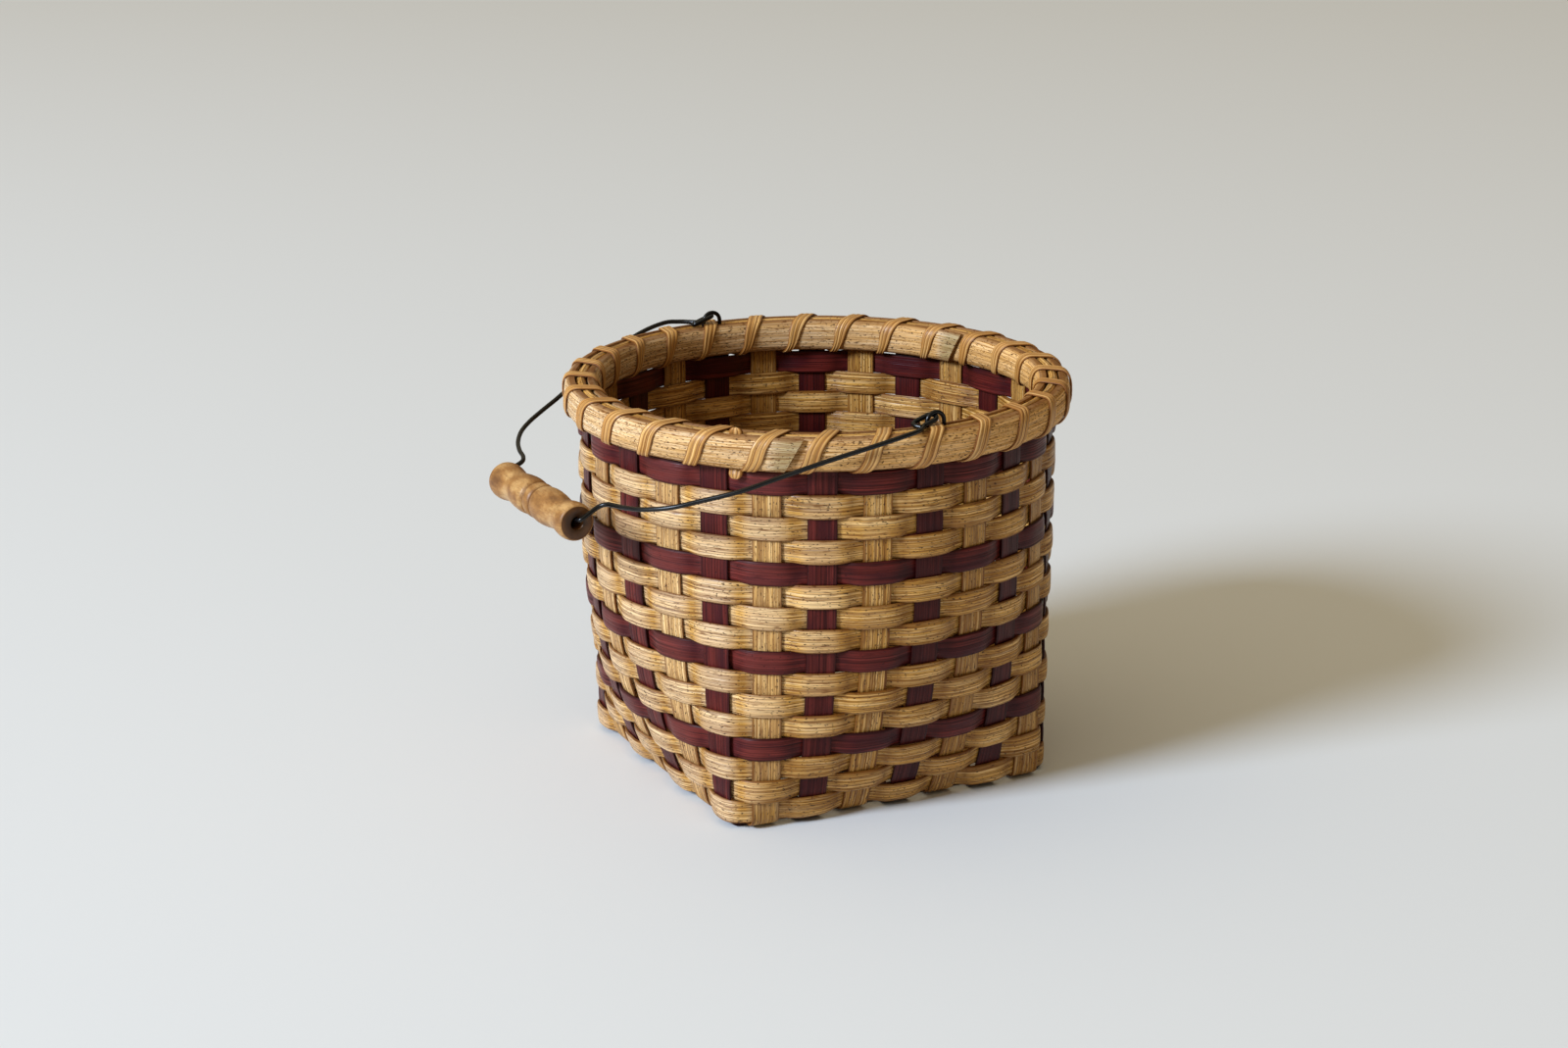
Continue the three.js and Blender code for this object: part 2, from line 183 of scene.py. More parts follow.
def unit(vectors: np.ndarray) -> np.ndarray:
    """Scales each row of an array to a length of one."""
    lengths = np.linalg.norm(vectors, axis=-1, keepdims=True)
    return vectors / np.maximum(lengths, 1e-12)


def smooth_step(low: float, high: float, x: np.ndarray) -> np.ndarray:
    """Rises smoothly from 0 at low to 1 at high.

    Args:
        low: where it starts to rise.
        high: where it ends.
        x: where to read it.

    Returns:
        Its height at each x.
    """
    share = np.clip((x - low) / (high - low), 0, 1)
    return share * share * (3 - 2 * share)


def way_to(azimuth: float, elevation: float = 0.0) -> np.ndarray:
    """The unit vector of a direction.

    Args:
        azimuth: radians anticlockwise from +X.
        elevation: radians above the floor.

    Returns:
        The vector.
    """
    level = math.cos(elevation)
    return np.array([math.cos(azimuth) * level, math.sin(azimuth) * level, math.sin(elevation)])


def turned_pair(a: np.ndarray, b: np.ndarray, angle: np.ndarray | float) -> tuple[np.ndarray, np.ndarray]:
    """Turns two coordinates of points in their plane, from the first towards the second.

    Args:
        a: the first coordinates.
        b: the second ones.
        angle: how far, in radians.

    Returns:
        The turned coordinates.
    """
    c, s = np.cos(angle), np.sin(angle)
    return a * c - b * s, a * s + b * c


def ring_directions(turn: np.ndarray) -> tuple[np.ndarray, np.ndarray]:
    """The ways out of a circle and along it.

    Args:
        turn: directions from its middle, in radians.

    Returns:
        The outward and the anticlockwise unit vectors, level, one row for each.
    """
    c, s, level = np.cos(turn), np.sin(turn), np.zeros_like(turn)
    return np.stack([c, s, level], 1), np.stack([-s, c, level], 1)


def spline_through(knots: np.ndarray, steps: int) -> np.ndarray:
    """Draws one smooth line through points.

    Args:
        knots: the points, one to a row.
        steps: how many steps lie between two neighbouring points.

    Returns:
        The points of the line, the first and last knot included.
    """
    padded = np.vstack([2 * knots[0] - knots[1], knots, 2 * knots[-1] - knots[-2]])
    share = (np.arange(steps) / steps)[:, None]
    made = []
    for a, b, c, d in zip(padded, padded[1:], padded[2:], padded[3:]):
        square = 2 * a - 5 * b + 4 * c - d
        cube = 3 * b - a - 3 * c + d
        made.append(b + (c - a) * share / 2 + square * share**2 / 2 + cube * share**3 / 2)
    return np.vstack([*made, knots[-1:]])


@dataclass(frozen=True)
class Uneven:
    """A smooth irregularity along a strip, such as hand work leaves.

    Attributes:
        size: about how far it goes each way.
        longest: its longest wavelength, in the units of the place along the strip.
        seed: picks the wave, together with the strip's number.
        waves: how many sine waves are added up, each shorter and lower than the one before.
    """

    # How much shorter and lower each wave is, how far its length strays, and about how high their sum gets
    SHORTER = 0.8
    LOWER = 0.5
    SPREAD = 0.15
    TALLEST = 2.2

    size: float
    longest: float
    seed: int = 0
    waves: int = 4

    def at(self, number: int, x: np.ndarray) -> np.ndarray:
        """Reads it along a strip, the same for the same number.

        Args:
            number: the strip's number.
            x: where to read it.

        Returns:
            Its height at each x.
        """
        rng = np.random.default_rng(self.seed + number)
        total = np.zeros_like(x, dtype=float)
        for k in range(self.waves):
            loose = rng.uniform(1 - self.SPREAD, 1 + self.SPREAD)
            length = self.longest / (1 + self.SHORTER * k) * loose
            total += np.sin(2 * math.pi * (x / length + rng.uniform())) / (1 + self.LOWER * k)
        return self.size * (total / self.TALLEST)


@dataclass
class Guide:
    """The line that a strip follows, with its half width and its half thickness at each point.

    Attributes:
        points: places along the line.
        wide: the half width at each, as a vector.
        rise: the half thickness at each, as a vector towards the strip's face.
        bare: how the stain took at each point, with painted light and shade added to it, from -1, darkest,
            where it pooled and where shade is painted, to 1, palest, where it missed the strip and where a
            highlight is painted.
    """

    points: np.ndarray
    wide: np.ndarray
    rise: np.ndarray
    bare: np.ndarray | None = None

    @staticmethod
    def along(
        points: np.ndarray, wide: np.ndarray, width: np.ndarray | float, thick: np.ndarray | float
    ) -> Guide:
        """Makes a guide whose face looks out square to the line and to its width.

        Args:
            points: places along the line.
            wide: the direction of the width at each.
            width: the strip's width, at each point or all along.
            thick: half its thickness, given the same way.

        Returns:
            The guide.
        """
        tangent = unit(np.gradient(points, axis=0))
        face = unit(np.cross(tangent, wide))
        across = unit(np.cross(face, tangent))
        half_thick = np.broadcast_to(np.asarray(thick, float), len(points))[:, None]
        half_width = np.broadcast_to(np.asarray(width, float), len(points))[:, None] / 2
        return Guide(points, across * half_width, face * half_thick)

    @staticmethod
    def wire(points: np.ndarray, flat: np.ndarray, radius: float) -> Guide:
        """Makes the guide of a round wire.

        Args:
            points: places along the wire, all close to one plane.
            flat: that plane's normal.
            radius: the wire's radius.

        Returns:
            The guide.
        """
        tangent = unit(np.gradient(points, axis=0))
        across = unit(np.cross(np.broadcast_to(flat, points.shape), tangent))
        return Guide(points, across * radius, np.cross(tangent, across) * radius)

    def mesh(self, name: str) -> bpy.types.Mesh:
        """Turns the guide into a line of vertices that the sweep tree reads.

        Args:
            name: the mesh's name.

        Returns:
            The mesh, in metres. Its ends are doubled with no width, so that the swept strip closes there.
        """
        points = np.vstack([self.points[:1], self.points, self.points[-1:]])
        nothing = np.zeros((1, 3))
        wide = np.vstack([nothing, self.wide, nothing])
        rise = np.vstack([nothing, self.rise, nothing])
        run = np.concatenate([[0.0], np.cumsum(np.linalg.norm(np.diff(points, axis=0), axis=1))])
        bare = np.zeros(len(self.points)) if self.bare is None else self.bare
        mesh = bpy.data.meshes.new(name)
        mesh.from_pydata((points * MM).tolist(), [], [])
        for label, values in (("wide", wide * MM), ("rise", rise * MM)):
            attribute = mesh.attributes.new(label, "FLOAT_VECTOR", "POINT")
            attribute.data.foreach_set("vector", values.astype(np.float32).ravel())
        for label, values in (("run", run), ("bare", np.concatenate([bare[:1], bare, bare[-1:]]))):
            attribute = mesh.attributes.new(label, "FLOAT", "POINT")
            attribute.data.foreach_set("value", values.astype(np.float32))
        return mesh


@dataclass(frozen=True)
class Section:
    """The cross-section of a strip or a wire.

    Attributes:
        sides: how many points go round it.
        edge: power that spreads the points across the width: under 1 squares the edges.
        face: power of the face's curve: 1 is an ellipse, less is flatter.
        back: the same for the back.
        depth: how deep the back is beside the face.
        ridges: how many ridges run along the face, an odd number.
        groove: how deep the grooves between them are, as a share of the half thickness.
        relief: how much the fibres lift the surface, as a share of the half thickness.
        fibre: width in millimetres of the fibres that do so.
    """

    sides: int = 24
    edge: float = 0.8
    face: float = 0.8
    back: float = 0.3
    depth: float = 0.35
    ridges: float = 1.0
    groove: float = 0.0
    relief: float = 0.0
    fibre: float = 1.2

    @staticmethod
    def rod(sides: int, relief: float = 0.0) -> Section:
        """A circle of so many sides, as of a wire or a round reed."""
        return Section(sides=sides, edge=1.0, face=1.0, back=1.0, depth=1.0, relief=relief)


class SweepTree:
    """The Geometry Nodes tree that sweeps a section along a guide.

    Every reed, cane and wire is made by it. The guide's points carry the half width and half thickness,
    so the tree places a grid of vertices, one row to each point, and closes it. It leaves three attributes
    for the finishes: "reed" is the place along the strip, across it and the strip's number, "edge" is how
    near the edge a point is, and "bare", the stain with painted light and shade added to
    it, comes from the guide.
    """

    # The fibres that lift the surface: their length, their noise's detail, and its step between two strips
    FIBRE_LENGTH = 110.0
    FIBRE_DETAIL = 1.5
    SEED_STEP = 7.31
    # An edge that bends more stays sharp, and vertices closer together, in metres, become one.
    CREASE = math.radians(50)
    MERGE = 1e-7
    # What a guide's points carry
    CARRIED = {"wide": "FLOAT_VECTOR", "rise": "FLOAT_VECTOR", "run": "FLOAT", "bare": "FLOAT"}

    def __init__(self) -> None:
        """Builds the tree once."""
        self.tree = bpy.data.node_groups.new("sweep_section_along_guide", "GeometryNodeTree")
        self.put = partial(add, self.tree)
        self.sockets: dict[str, str] = {}
        self._interface()
        self._nodes()

    def _interface(self) -> None:
        """Names the tree's inputs and its output."""
        face = self.tree.interface
        face.new_socket("Guide", in_out="INPUT", socket_type="NodeSocketGeometry")
        kinds = {"sides": "NodeSocketInt", "material": "NodeSocketMaterial"}
        for name in (*Section.__dataclass_fields__, "number", "material"):
            socket = face.new_socket(name, in_out="INPUT", socket_type=kinds.get(name, "NodeSocketFloat"))
            self.sockets[name] = socket.identifier
        face.new_socket("Strip", in_out="OUTPUT", socket_type="NodeSocketGeometry")

    def _nodes(self) -> None:
        """Builds the tree's nodes."""
        put = self.put
        given = self.tree.nodes.new("NodeGroupInput").outputs
        guide = given["Guide"]
        rows = put("GeometryNodeAttributeDomainSize", [guide])
        around = put(MATH, [given["sides"], 1.0], operation="ADD")
        grid = put("GeometryNodeMeshGrid", {"Vertices X": rows, "Vertices Y": around})

        # Which row a vertex is in, and how far round the section
        index = put("GeometryNodeInputIndex")
        middle_index = put(MATH, [index, 0.5], operation="ADD")
        row = put(MATH, [put(MATH, [middle_index, around], operation="DIVIDE")], operation="FLOOR")
        row_start = put(MATH, [row, around], operation="MULTIPLY")
        place = put(MATH, [index, row_start], operation="SUBTRACT")
        clockwise = put(MATH, [place, -2 * math.pi], operation="MULTIPLY")
        turn = put(MATH, [clockwise, given["sides"]], operation="DIVIDE")

        # What the guide carries for that row
        read = {}
        for label, kind in self.CARRIED.items():
            stored = put("GeometryNodeInputNamedAttribute", {"Name": label}, data_type=kind)
            read[label] = put("GeometryNodeSampleIndex", [guide, stored, row], data_type=kind)
        position = put("GeometryNodeInputPosition")
        centre = put("GeometryNodeSampleIndex", [guide, position, row], data_type="FLOAT_VECTOR")

        u, profile = self._profile(given, turn)
        half_width = put(VECTOR, [read["wide"]], operation="LENGTH")
        across = put(MATH, [u, put(MATH, [half_width, 1 / MM], operation="MULTIPLY")], operation="MULTIPLY")
        lift = self._lift(given, read["run"], across)
        v = put(MATH, [profile, lift], operation="MULTIPLY")
        outward = put(VECTOR, [read["wide"], u], operation="SCALE")
        upward = put(VECTOR, [read["rise"], v], operation="SCALE")
        offset = put(VECTOR, [outward, upward], operation="ADD")
        moved = put(VECTOR, [centre, offset], operation="ADD")
        shape = put("GeometryNodeSetPosition", {"Geometry": grid, "Position": moved})
        for label, kind, value in (
            ("reed", "FLOAT_VECTOR", put(COMBINE, [read["run"], across, given["number"]])),
            ("edge", "FLOAT", put(MATH, [u], operation="ABSOLUTE")),
            ("bare", "FLOAT", read["bare"]),
        ):
            shape = put(
                "GeometryNodeStoreNamedAttribute",
                {"Geometry": shape, "Name": label, "Value": value},
                data_type=kind,
                domain="POINT",
            )
        self._closed(shape, given["material"])

    def _profile(
        self, given: bpy.types.NodeOutputs, turn: bpy.types.Node
    ) -> tuple[bpy.types.Node, bpy.types.Node]:
        """Adds the nodes for the section's outline.

        The place across the width runs from 1 to -1 and back. The height over the strip's middle follows the
        face on the way out and the back on the way home.

        Args:
            given: the tree's inputs.
            turn: how far round the section a vertex is.

        Returns:
            The place across the width, and the height over the middle.
        """
        put = self.put
        cosine = put(MATH, [turn], operation="COSINE")
        sine = put(MATH, [turn], operation="SINE")
        spread = put(MATH, [put(MATH, [cosine], operation="ABSOLUTE"), given["edge"]], operation="POWER")
        u = put(MATH, [put(MATH, [cosine], operation="SIGN"), spread], operation="MULTIPLY")
        above = put(MATH, [sine, 0.0], operation="MAXIMUM")
        below = put(MATH, [put(MATH, [sine, -1.0], operation="MULTIPLY"), 0.0], operation="MAXIMUM")
        face = put(MATH, [above, given["face"]], operation="POWER")
        back = put(MATH, [below, given["back"]], operation="POWER")

        # Ridges along the face, with grooves between them
        half_turns = put(MATH, [u, math.pi], operation="MULTIPLY")
        phase = put(MATH, [half_turns, given["ridges"]], operation="MULTIPLY")
        wave = put(MATH, [put(MATH, [phase], operation="COSINE"), -0.5, 0.5], operation="MULTIPLY_ADD")
        cut = put(MATH, [wave, given["groove"]], operation="MULTIPLY")
        ridged = put(MATH, [face, put(MATH, [1.0, cut], operation="SUBTRACT")], operation="MULTIPLY")
        hollow = put(MATH, [back, given["depth"]], operation="MULTIPLY")
        return u, put(MATH, [ridged, hollow], operation="SUBTRACT")

    def _lift(
        self, given: bpy.types.NodeOutputs, run: bpy.types.Node, across: bpy.types.Node
    ) -> bpy.types.Node:
        """Adds the nodes for the fibres that lift the surface, long beside their width.

        Args:
            given: the tree's inputs.
            run: the place along the strip.
            across: the place across it.

        Returns:
            What the height over the strip's middle is multiplied by.
        """
        put = self.put
        place = put(
            COMBINE,
            [
                put(MATH, [run, self.FIBRE_LENGTH], operation="DIVIDE"),
                put(MATH, [across, given["fibre"]], operation="DIVIDE"),
                put(MATH, [given["number"], self.SEED_STEP], operation="MULTIPLY"),
            ],
        )
        fibres = put(NOISE, {"Vector": place, "Scale": 1.0, "Detail": self.FIBRE_DETAIL})
        raised = put(MATH, [fibres, 0.5], operation="SUBTRACT")
        return put(MATH, [raised, given["relief"], 1.0], operation="MULTIPLY_ADD")

    def _closed(self, shape: bpy.types.Node, material: bpy.types.NodeSocket) -> None:
        """Adds the nodes that close the swept grid, smooth it and dress it.

        Args:
            shape: the swept grid.
            material: the tree's material input.
        """
        put = self.put
        closed = put("GeometryNodeMergeByDistance", {"Geometry": shape, "Distance": self.MERGE})
        bend = put("GeometryNodeInputMeshEdgeAngle")
        sharp = put(MATH, [bend, self.CREASE], operation="GREATER_THAN")
        smooth = put("GeometryNodeSetShadeSmooth", [closed, True, True], domain="FACE")
        creased = put("GeometryNodeSetShadeSmooth", [smooth, sharp, False], domain="EDGE")
        real = put("GeometryNodeRealizeInstances", [creased])
        dressed = put("GeometryNodeSetMaterial", {"Geometry": real, "Material": material})
        put("NodeGroupOutput", [dressed])

    def sweep(
        self, name: str, guide: Guide, section: Section, material: bpy.types.Material, number: int
    ) -> bpy.types.Object:
        """Sweeps a section along a guide and keeps the result as a plain mesh.

        Args:
            name: the new object's name.
            guide: the line to follow.
            section: the cross-section.
            material: the finish.
            number: tells one strip's pattern from another's.

        Returns:
            The finished object, at the origin.
        """
        piece = linked(name, guide.mesh(f"{name}_guide"))
        modifier = piece.modifiers.new("sweep", "NODES")
        modifier.node_group = self.tree
        for label in Section.__dataclass_fields__:
            value = getattr(section, label)
            modifier[self.sockets[label]] = value if label == "sides" else float(value)
        modifier[self.sockets["number"]] = float(number)
        modifier[self.sockets["material"]] = material
        bpy.context.view_layer.update()
        depsgraph = bpy.context.evaluated_depsgraph_get()
        mesh = bpy.data.meshes.new_from_object(piece.evaluated_get(depsgraph))
        mesh.name = name
        piece.modifiers.clear()
        piece.data = mesh
        return piece

    def lay(
        self,
        node: str,
        part: str,
        guide: Guide,
        section: Section,
        material: bpy.types.Material,
        number: int,
        slot: str,
        body: str = "basket",
    ) -> None:
        """Sweeps a strip or a wire, and seats it on a body in place of a solid.

        Args:
            node: the solid that it stands for.
            part: what it is of, which ends its name.
            guide: the line to follow.
            section: the cross-section.
            material: the finish.
            number: tells one strip's pattern from another's.
            slot: the name of a material slot, which is not used.
            body: the body it moves with.
        """
        seat(self.sweep(f"{node}_{part}", guide, section, material, number), body, node)


@dataclass(frozen=True)
class ReedFinish:
    """Rattan reed under a stain: pale and dark fibres, stain settled in the grooves, open pores, satin.

    Attributes:
        name: the material's name.
        body: the colour between the fibres.
        pale: the raised fibres, which catch the light.
        dark: the grooves, where the stain has settled, and the edges, where stain settled and shade is
            painted.
        fleck: the pores.
        blush: the colour that the tone drifts to along a strip.
        pooled_and_shaded: the colour where more of the stain stayed, and of painted shade.
        bare: the colour where the stain missed a cut end, and of the painted highlight on the side towards
            the lamp.
        fibre_width: width of the bundles of fibres; finer ones lie within them.
        fibre_length: how long they run.
        line_gap: about how far apart the dark grooves lie.
        line_share: how strongly they show, from 0 to 1.
        drift: how far along a strip the tone holds.
        blush_share: how strongly it drifts.
        streaks: how strongly short dark streaks show.
        pores: how much of the surface has flecks, from 0 to 1.
        ridges: how many ridges the strip has across its face, with dark lines between them.
        roughness: of the surface between the fibres.
        relief: depth of the fibres in the bump.
        shine: level of the specular reflection, 0.5 for a plain film of an index of 1.5.
    """

    name: str
    body: str
    pale: str
    dark: str
    fleck: str
    blush: str
    pooled_and_shaded: str
    bare: str = "#A69A78"
    fibre_width: float = 0.75
    fibre_length: float = 60.0
    line_gap: float = 1.0
    line_share: float = 0.75
    drift: float = 30.0
    blush_share: float = 0.5
    streaks: float = 0.7
    pores: float = 0.5
    ridges: float = 0.0
    roughness: float = 0.4
    relief: float = 0.35
    shine: float = 0.5

    # How far one strip's pattern lies from the next one's
    NUMBER_STEP = 3.7

    def build(self) -> bpy.types.Material:
        """Makes the material.

        Returns:
            The material, with its pattern in millimetres along and across each strip.
        """
        material, put = new_material(self.name)
        place = put(ATTRIBUTE, attribute_name="reed").outputs["Vector"]
        edge = put(ATTRIBUTE, attribute_name="edge").outputs["Fac"]
        missed_and_painted_light = put(ATTRIBUTE, attribute_name="bare").outputs["Fac"]
        noise = {}
        for label, along, across, detail in (
            ("fibre", self.fibre_length, self.fibre_width, 3.0),
            ("line", self.fibre_length * 2.5, self.line_gap, 1.0),
            ("tone", self.drift, self.drift / 4, 2.0),
            ("streak", self.fibre_length / 9, self.fibre_width, 1.0),
            ("pore", 1.5, 0.7, 1.0),
        ):
            scaled = put(VECTOR, [place, (1 / along, 1 / across, self.NUMBER_STEP)], operation="MULTIPLY")
            noise[label] = put(NOISE, {"Vector": scaled, "Scale": 1.0, "Detail": detail})

        # A groove runs where the line pattern crosses its middle value.
        beside = put(MATH, [put(MATH, [noise["line"], 0.5], operation="SUBTRACT")], operation="ABSOLUTE")
        line = put(RANGE, {"Value": beside, "From Max": 0.12, "To Min": self.line_share, "To Max": 0.0})
        tone = put(
            RANGE, {"Value": noise["tone"], "From Min": 0.44, "From Max": 0.64, "To Max": self.blush_share}
        )
        cut = 0.72 - 0.1 * self.pores
        pore = put(RANGE, {"Value": noise["pore"], "From Min": cut, "From Max": cut + 0.05, "To Max": 0.8})
        # Painted shade along each strip's edges, where the gaps between strips fall, over stain that settled
        # there.
        border = put(RANGE, {"Value": edge, "From Min": 0.78, "From Max": 1.0, "To Max": 0.88})
        streak = put(
            RANGE, {"Value": noise["streak"], "From Min": 0.58, "From Max": 0.7, "To Max": self.streaks}
        )
        # The guide's value pales a strip towards the bare colour where stain missed a cut end and as a
        # painted highlight, and darkens it towards the pooled colour for pooled stain and painted shade.
        raw_and_highlight = put(RANGE, {"Value": missed_and_painted_light, "To Max": 0.65})
        pooled_and_shaded = put(RANGE, {"Value": missed_and_painted_light, "From Min": 0.0, "From Max": -1.0, "To Max": 0.75})
        layers = [
            (tone, self.blush),
            (raw_and_highlight, self.bare),
            (pooled_and_shaded, self.pooled_and_shaded),
            (line, self.dark),
            (streak, self.dark),
            (pore, self.fleck),
            (border, self.dark),
        ]
        if self.ridges:
            phase = put(MATH, [edge, math.pi * self.ridges], operation="MULTIPLY")
            wave = put(MATH, [phase], operation="COSINE")
            between = put(RANGE, {"Value": wave, "From Min": -0.2, "From Max": -0.9, "To Max": 0.7})
            layers.append((between, self.dark))
        colour = put(RAMP, [noise["fibre"]], [(0.3, self.dark), (0.46, self.body), (0.62, self.pale)])
        for share, tint in layers:
            colour = put(MIX, {"Factor": share, "A": colour, "B": linear(tint)}, data_type="RGBA")

        low = put(MATH, [line, pore], operation="ADD")
        height = put(MATH, [noise["fibre"], low], operation="SUBTRACT")
        bump = put("ShaderNodeBump", {"Height": height, "Strength": 0.9, "Distance": self.relief * MM})
        rough = put(
            RANGE,
            {
                "Value": noise["fibre"],
                "From Min": 0.35,
                "From Max": 0.65,
                "To Min": self.roughness + 0.16,
                "To Max": self.roughness - 0.08,
            },
        )
        shader = put(
            PRINCIPLED,
            {
                "Base Color": colour,
                "Roughness": rough,
                "Normal": bump,
                "IOR": 1.5,
                "Specular IOR Level": self.shine,
            },
        )
        put(OUTPUT, [shader])
        return material


class Reed(Enum):
    """The finishes of the basket's reeds and canes."""

    # Undyed reed under a honey stain, machine-cut and left fibrous: straw tan with brown grooves, browner
    # where the stain pooled and with painted shade beside the stakes, and creamier with a painted highlight
    # on the side towards the lamp.
    NATURAL = ReedFinish(
        name="stained_rattan_reed",
        body="#DDA44C",
        pale="#F3C682",
        dark="#6C3A08",
        fleck="#281303",
        blush="#B67D2E",
        pooled_and_shaded="#6E3C04",
        bare="#FFE9CA",
        line_share=0.7,
        drift=22.0,
        blush_share=0.6,
        streaks=0.7,
        pores=0.7,
        roughness=0.38,
        relief=0.22,
        shine=0.27,
    )
    # Burgundy dye on reed: uneven, redder where it is thin on the raised fibres, purple where it pooled,
    # darker with painted shade beside the stakes and paler with a painted highlight on the side towards the
    # lamp.
    DYED = ReedFinish(
        name="dyed_rattan_reed",
        body="#551812",
        pale="#742B25",
        dark="#2B0808",
        fleck="#190507",
        blush="#3E0F16",
        pooled_and_shaded="#2B0808",
        bare="#7C3C36",
        line_share=0.35,
        drift=24.0,
        blush_share=0.75,
        streaks=0.3,
        pores=0.1,
        roughness=0.38,
        relief=0.15,
        shine=0.17,
    )
    # Half-round reed sawn from the core: coarse short fibres and open pores, creamy, and honey towards the
    # side away from the lamp, which is painted shade. A cut end that the stain missed is a greyish green.
    RIM = ReedFinish(
        name="half_round_rim_reed",
        body="#E9BD84",
        pale="#F7DAB0",
        dark="#714012",
        fleck="#3A2008",
        blush="#CEA368",
        pooled_and_shaded="#F2AE4C",
        bare="#93804F",
        fibre_width=0.45,
        fibre_length=24.0,
        line_gap=0.8,
        line_share=0.5,
        streaks=0.75,
        pores=0.85,
        roughness=0.6,
        relief=0.1,
        shine=0.2,
    )
    # Split cane wound wet: honey tan, close-grained, with fine ridges and a soft shine.
    CANE = ReedFinish(
        name="split_cane",
        body="#CC9348",
        pale="#EFC07C",
        dark="#7A440F",
        fleck="#6B4722",
        blush="#BA7E3E",
        pooled_and_shaded="#7A440F",
        line_share=0.3,
        streaks=0.2,
        pores=0.05,
        ridges=3.0,
        relief=0.14,
        shine=0.33,
    )


@dataclass(frozen=True)
class WireFinish:
    """Mild steel wire with a black lacquer: near-black, smooth, with sharp small highlights.

    Attributes:
        name: the material's name.
        colour: the lacquer.
        worn: where handling has thinned it.
        scuff: size of the worn patches.
        roughness: of the unworn lacquer.
    """

    name: str = "black_lacquered_wire"
    colour: str = "#040405"
    worn: str = "#0D0C0D"
    scuff: float = 6.0
    roughness: float = 0.24

    def build(self) -> bpy.types.Material:
        """Makes the material.

        Returns:
            The material, with its scuffs in millimetres along the wire.
        """
        material, put = new_material(self.name)
        place = put(ATTRIBUTE, attribute_name="reed").outputs["Vector"]
        scuffs = put(NOISE, {"Vector": place, "Scale": 1 / self.scuff, "Detail": 4.0})
        colour = put(RAMP, [scuffs], [(0.45, self.colour), (0.72, self.worn)])
        rough = put(RANGE, {"Value": scuffs, "To Min": self.roughness - 0.06, "To Max": self.roughness + 0.1})
        shader = put(PRINCIPLED, {"Base Color": colour, "Roughness": rough, "Specular IOR Level": 0.35})
        put(OUTPUT, [shader])
        return material


@dataclass(frozen=True)
class GripFinish:
    """Turned close-grained hardwood under a blotchy honey stain and worn satin varnish.

    Attributes:
        name: the material's name.
        pale: where the stain took little.
        body: most of the surface.
        stain: the blotches and the bottoms of the turned grooves.
        grain_width: width of the grain lines, drawn a little coarser than real ones.
        grain_length: how long they run.
        blotch: size of the stain's blotches.
        roughness: of the varnish.
    """

    name: str = "turned_stained_hardwood"
    pale: str = "#C5985E"
    body: str = "#9E6D38"
    stain: str = "#704722"
    grain_width: float = 0.5
    grain_length: float = 14.0
    blotch: float = 8.0
    roughness: float = 0.4

    def build(self) -> bpy.types.Material:
        """Makes the material.

        Returns:
            The material, with its grain along the grip.
        """
        material, put = new_material(self.name)
        place = put("ShaderNodeTexCoord").outputs["Object"]
        noise = {}
        for label, along, across, detail in (
            ("grain", self.grain_length, self.grain_width, 3.0),
            ("blotch", self.blotch * 1.7, self.blotch, 5.0),
            ("speck", 1.6, 0.5, 2.0),
        ):
            scale = (1 / (across * MM), 1 / (along * MM), 1 / (across * MM))
            scaled = put(VECTOR, [place, scale], operation="MULTIPLY")
            noise[label] = put(NOISE, {"Vector": scaled, "Scale": 1.0, "Detail": detail, "Roughness": 0.6})
        wood = put(RAMP, [noise["blotch"]], [(0.3, self.stain), (0.48, self.body), (0.64, self.pale)])
        lines = put(RANGE, {"Value": noise["grain"], "From Min": 0.5, "From Max": 0.7, "To Max": 0.45})
        specks = put(RANGE, {"Value": noise["speck"], "From Min": 0.58, "From Max": 0.7, "To Max": 0.5})
        turned = put(ATTRIBUTE, attribute_name="groove").outputs["Fac"]
        colour = wood
        for share in (lines, specks, turned):
            colour = put(MIX, {"Factor": share, "A": colour, "B": linear(self.stain)}, data_type="RGBA")
        bump = put("ShaderNodeBump", {"Height": noise["grain"], "Strength": 0.4, "Distance": 0.08 * MM})
        rough = put(
            RANGE,
            {"Value": noise["blotch"], "To Min": self.roughness + 0.1, "To Max": self.roughness - 0.06},
        )
        shader = put(
            PRINCIPLED,
            {
                "Base Color": colour,
                "Roughness": rough,
                "Normal": bump,
                "Specular IOR Level": 0.35,
            },
        )
        put(OUTPUT, [shader])
        return material


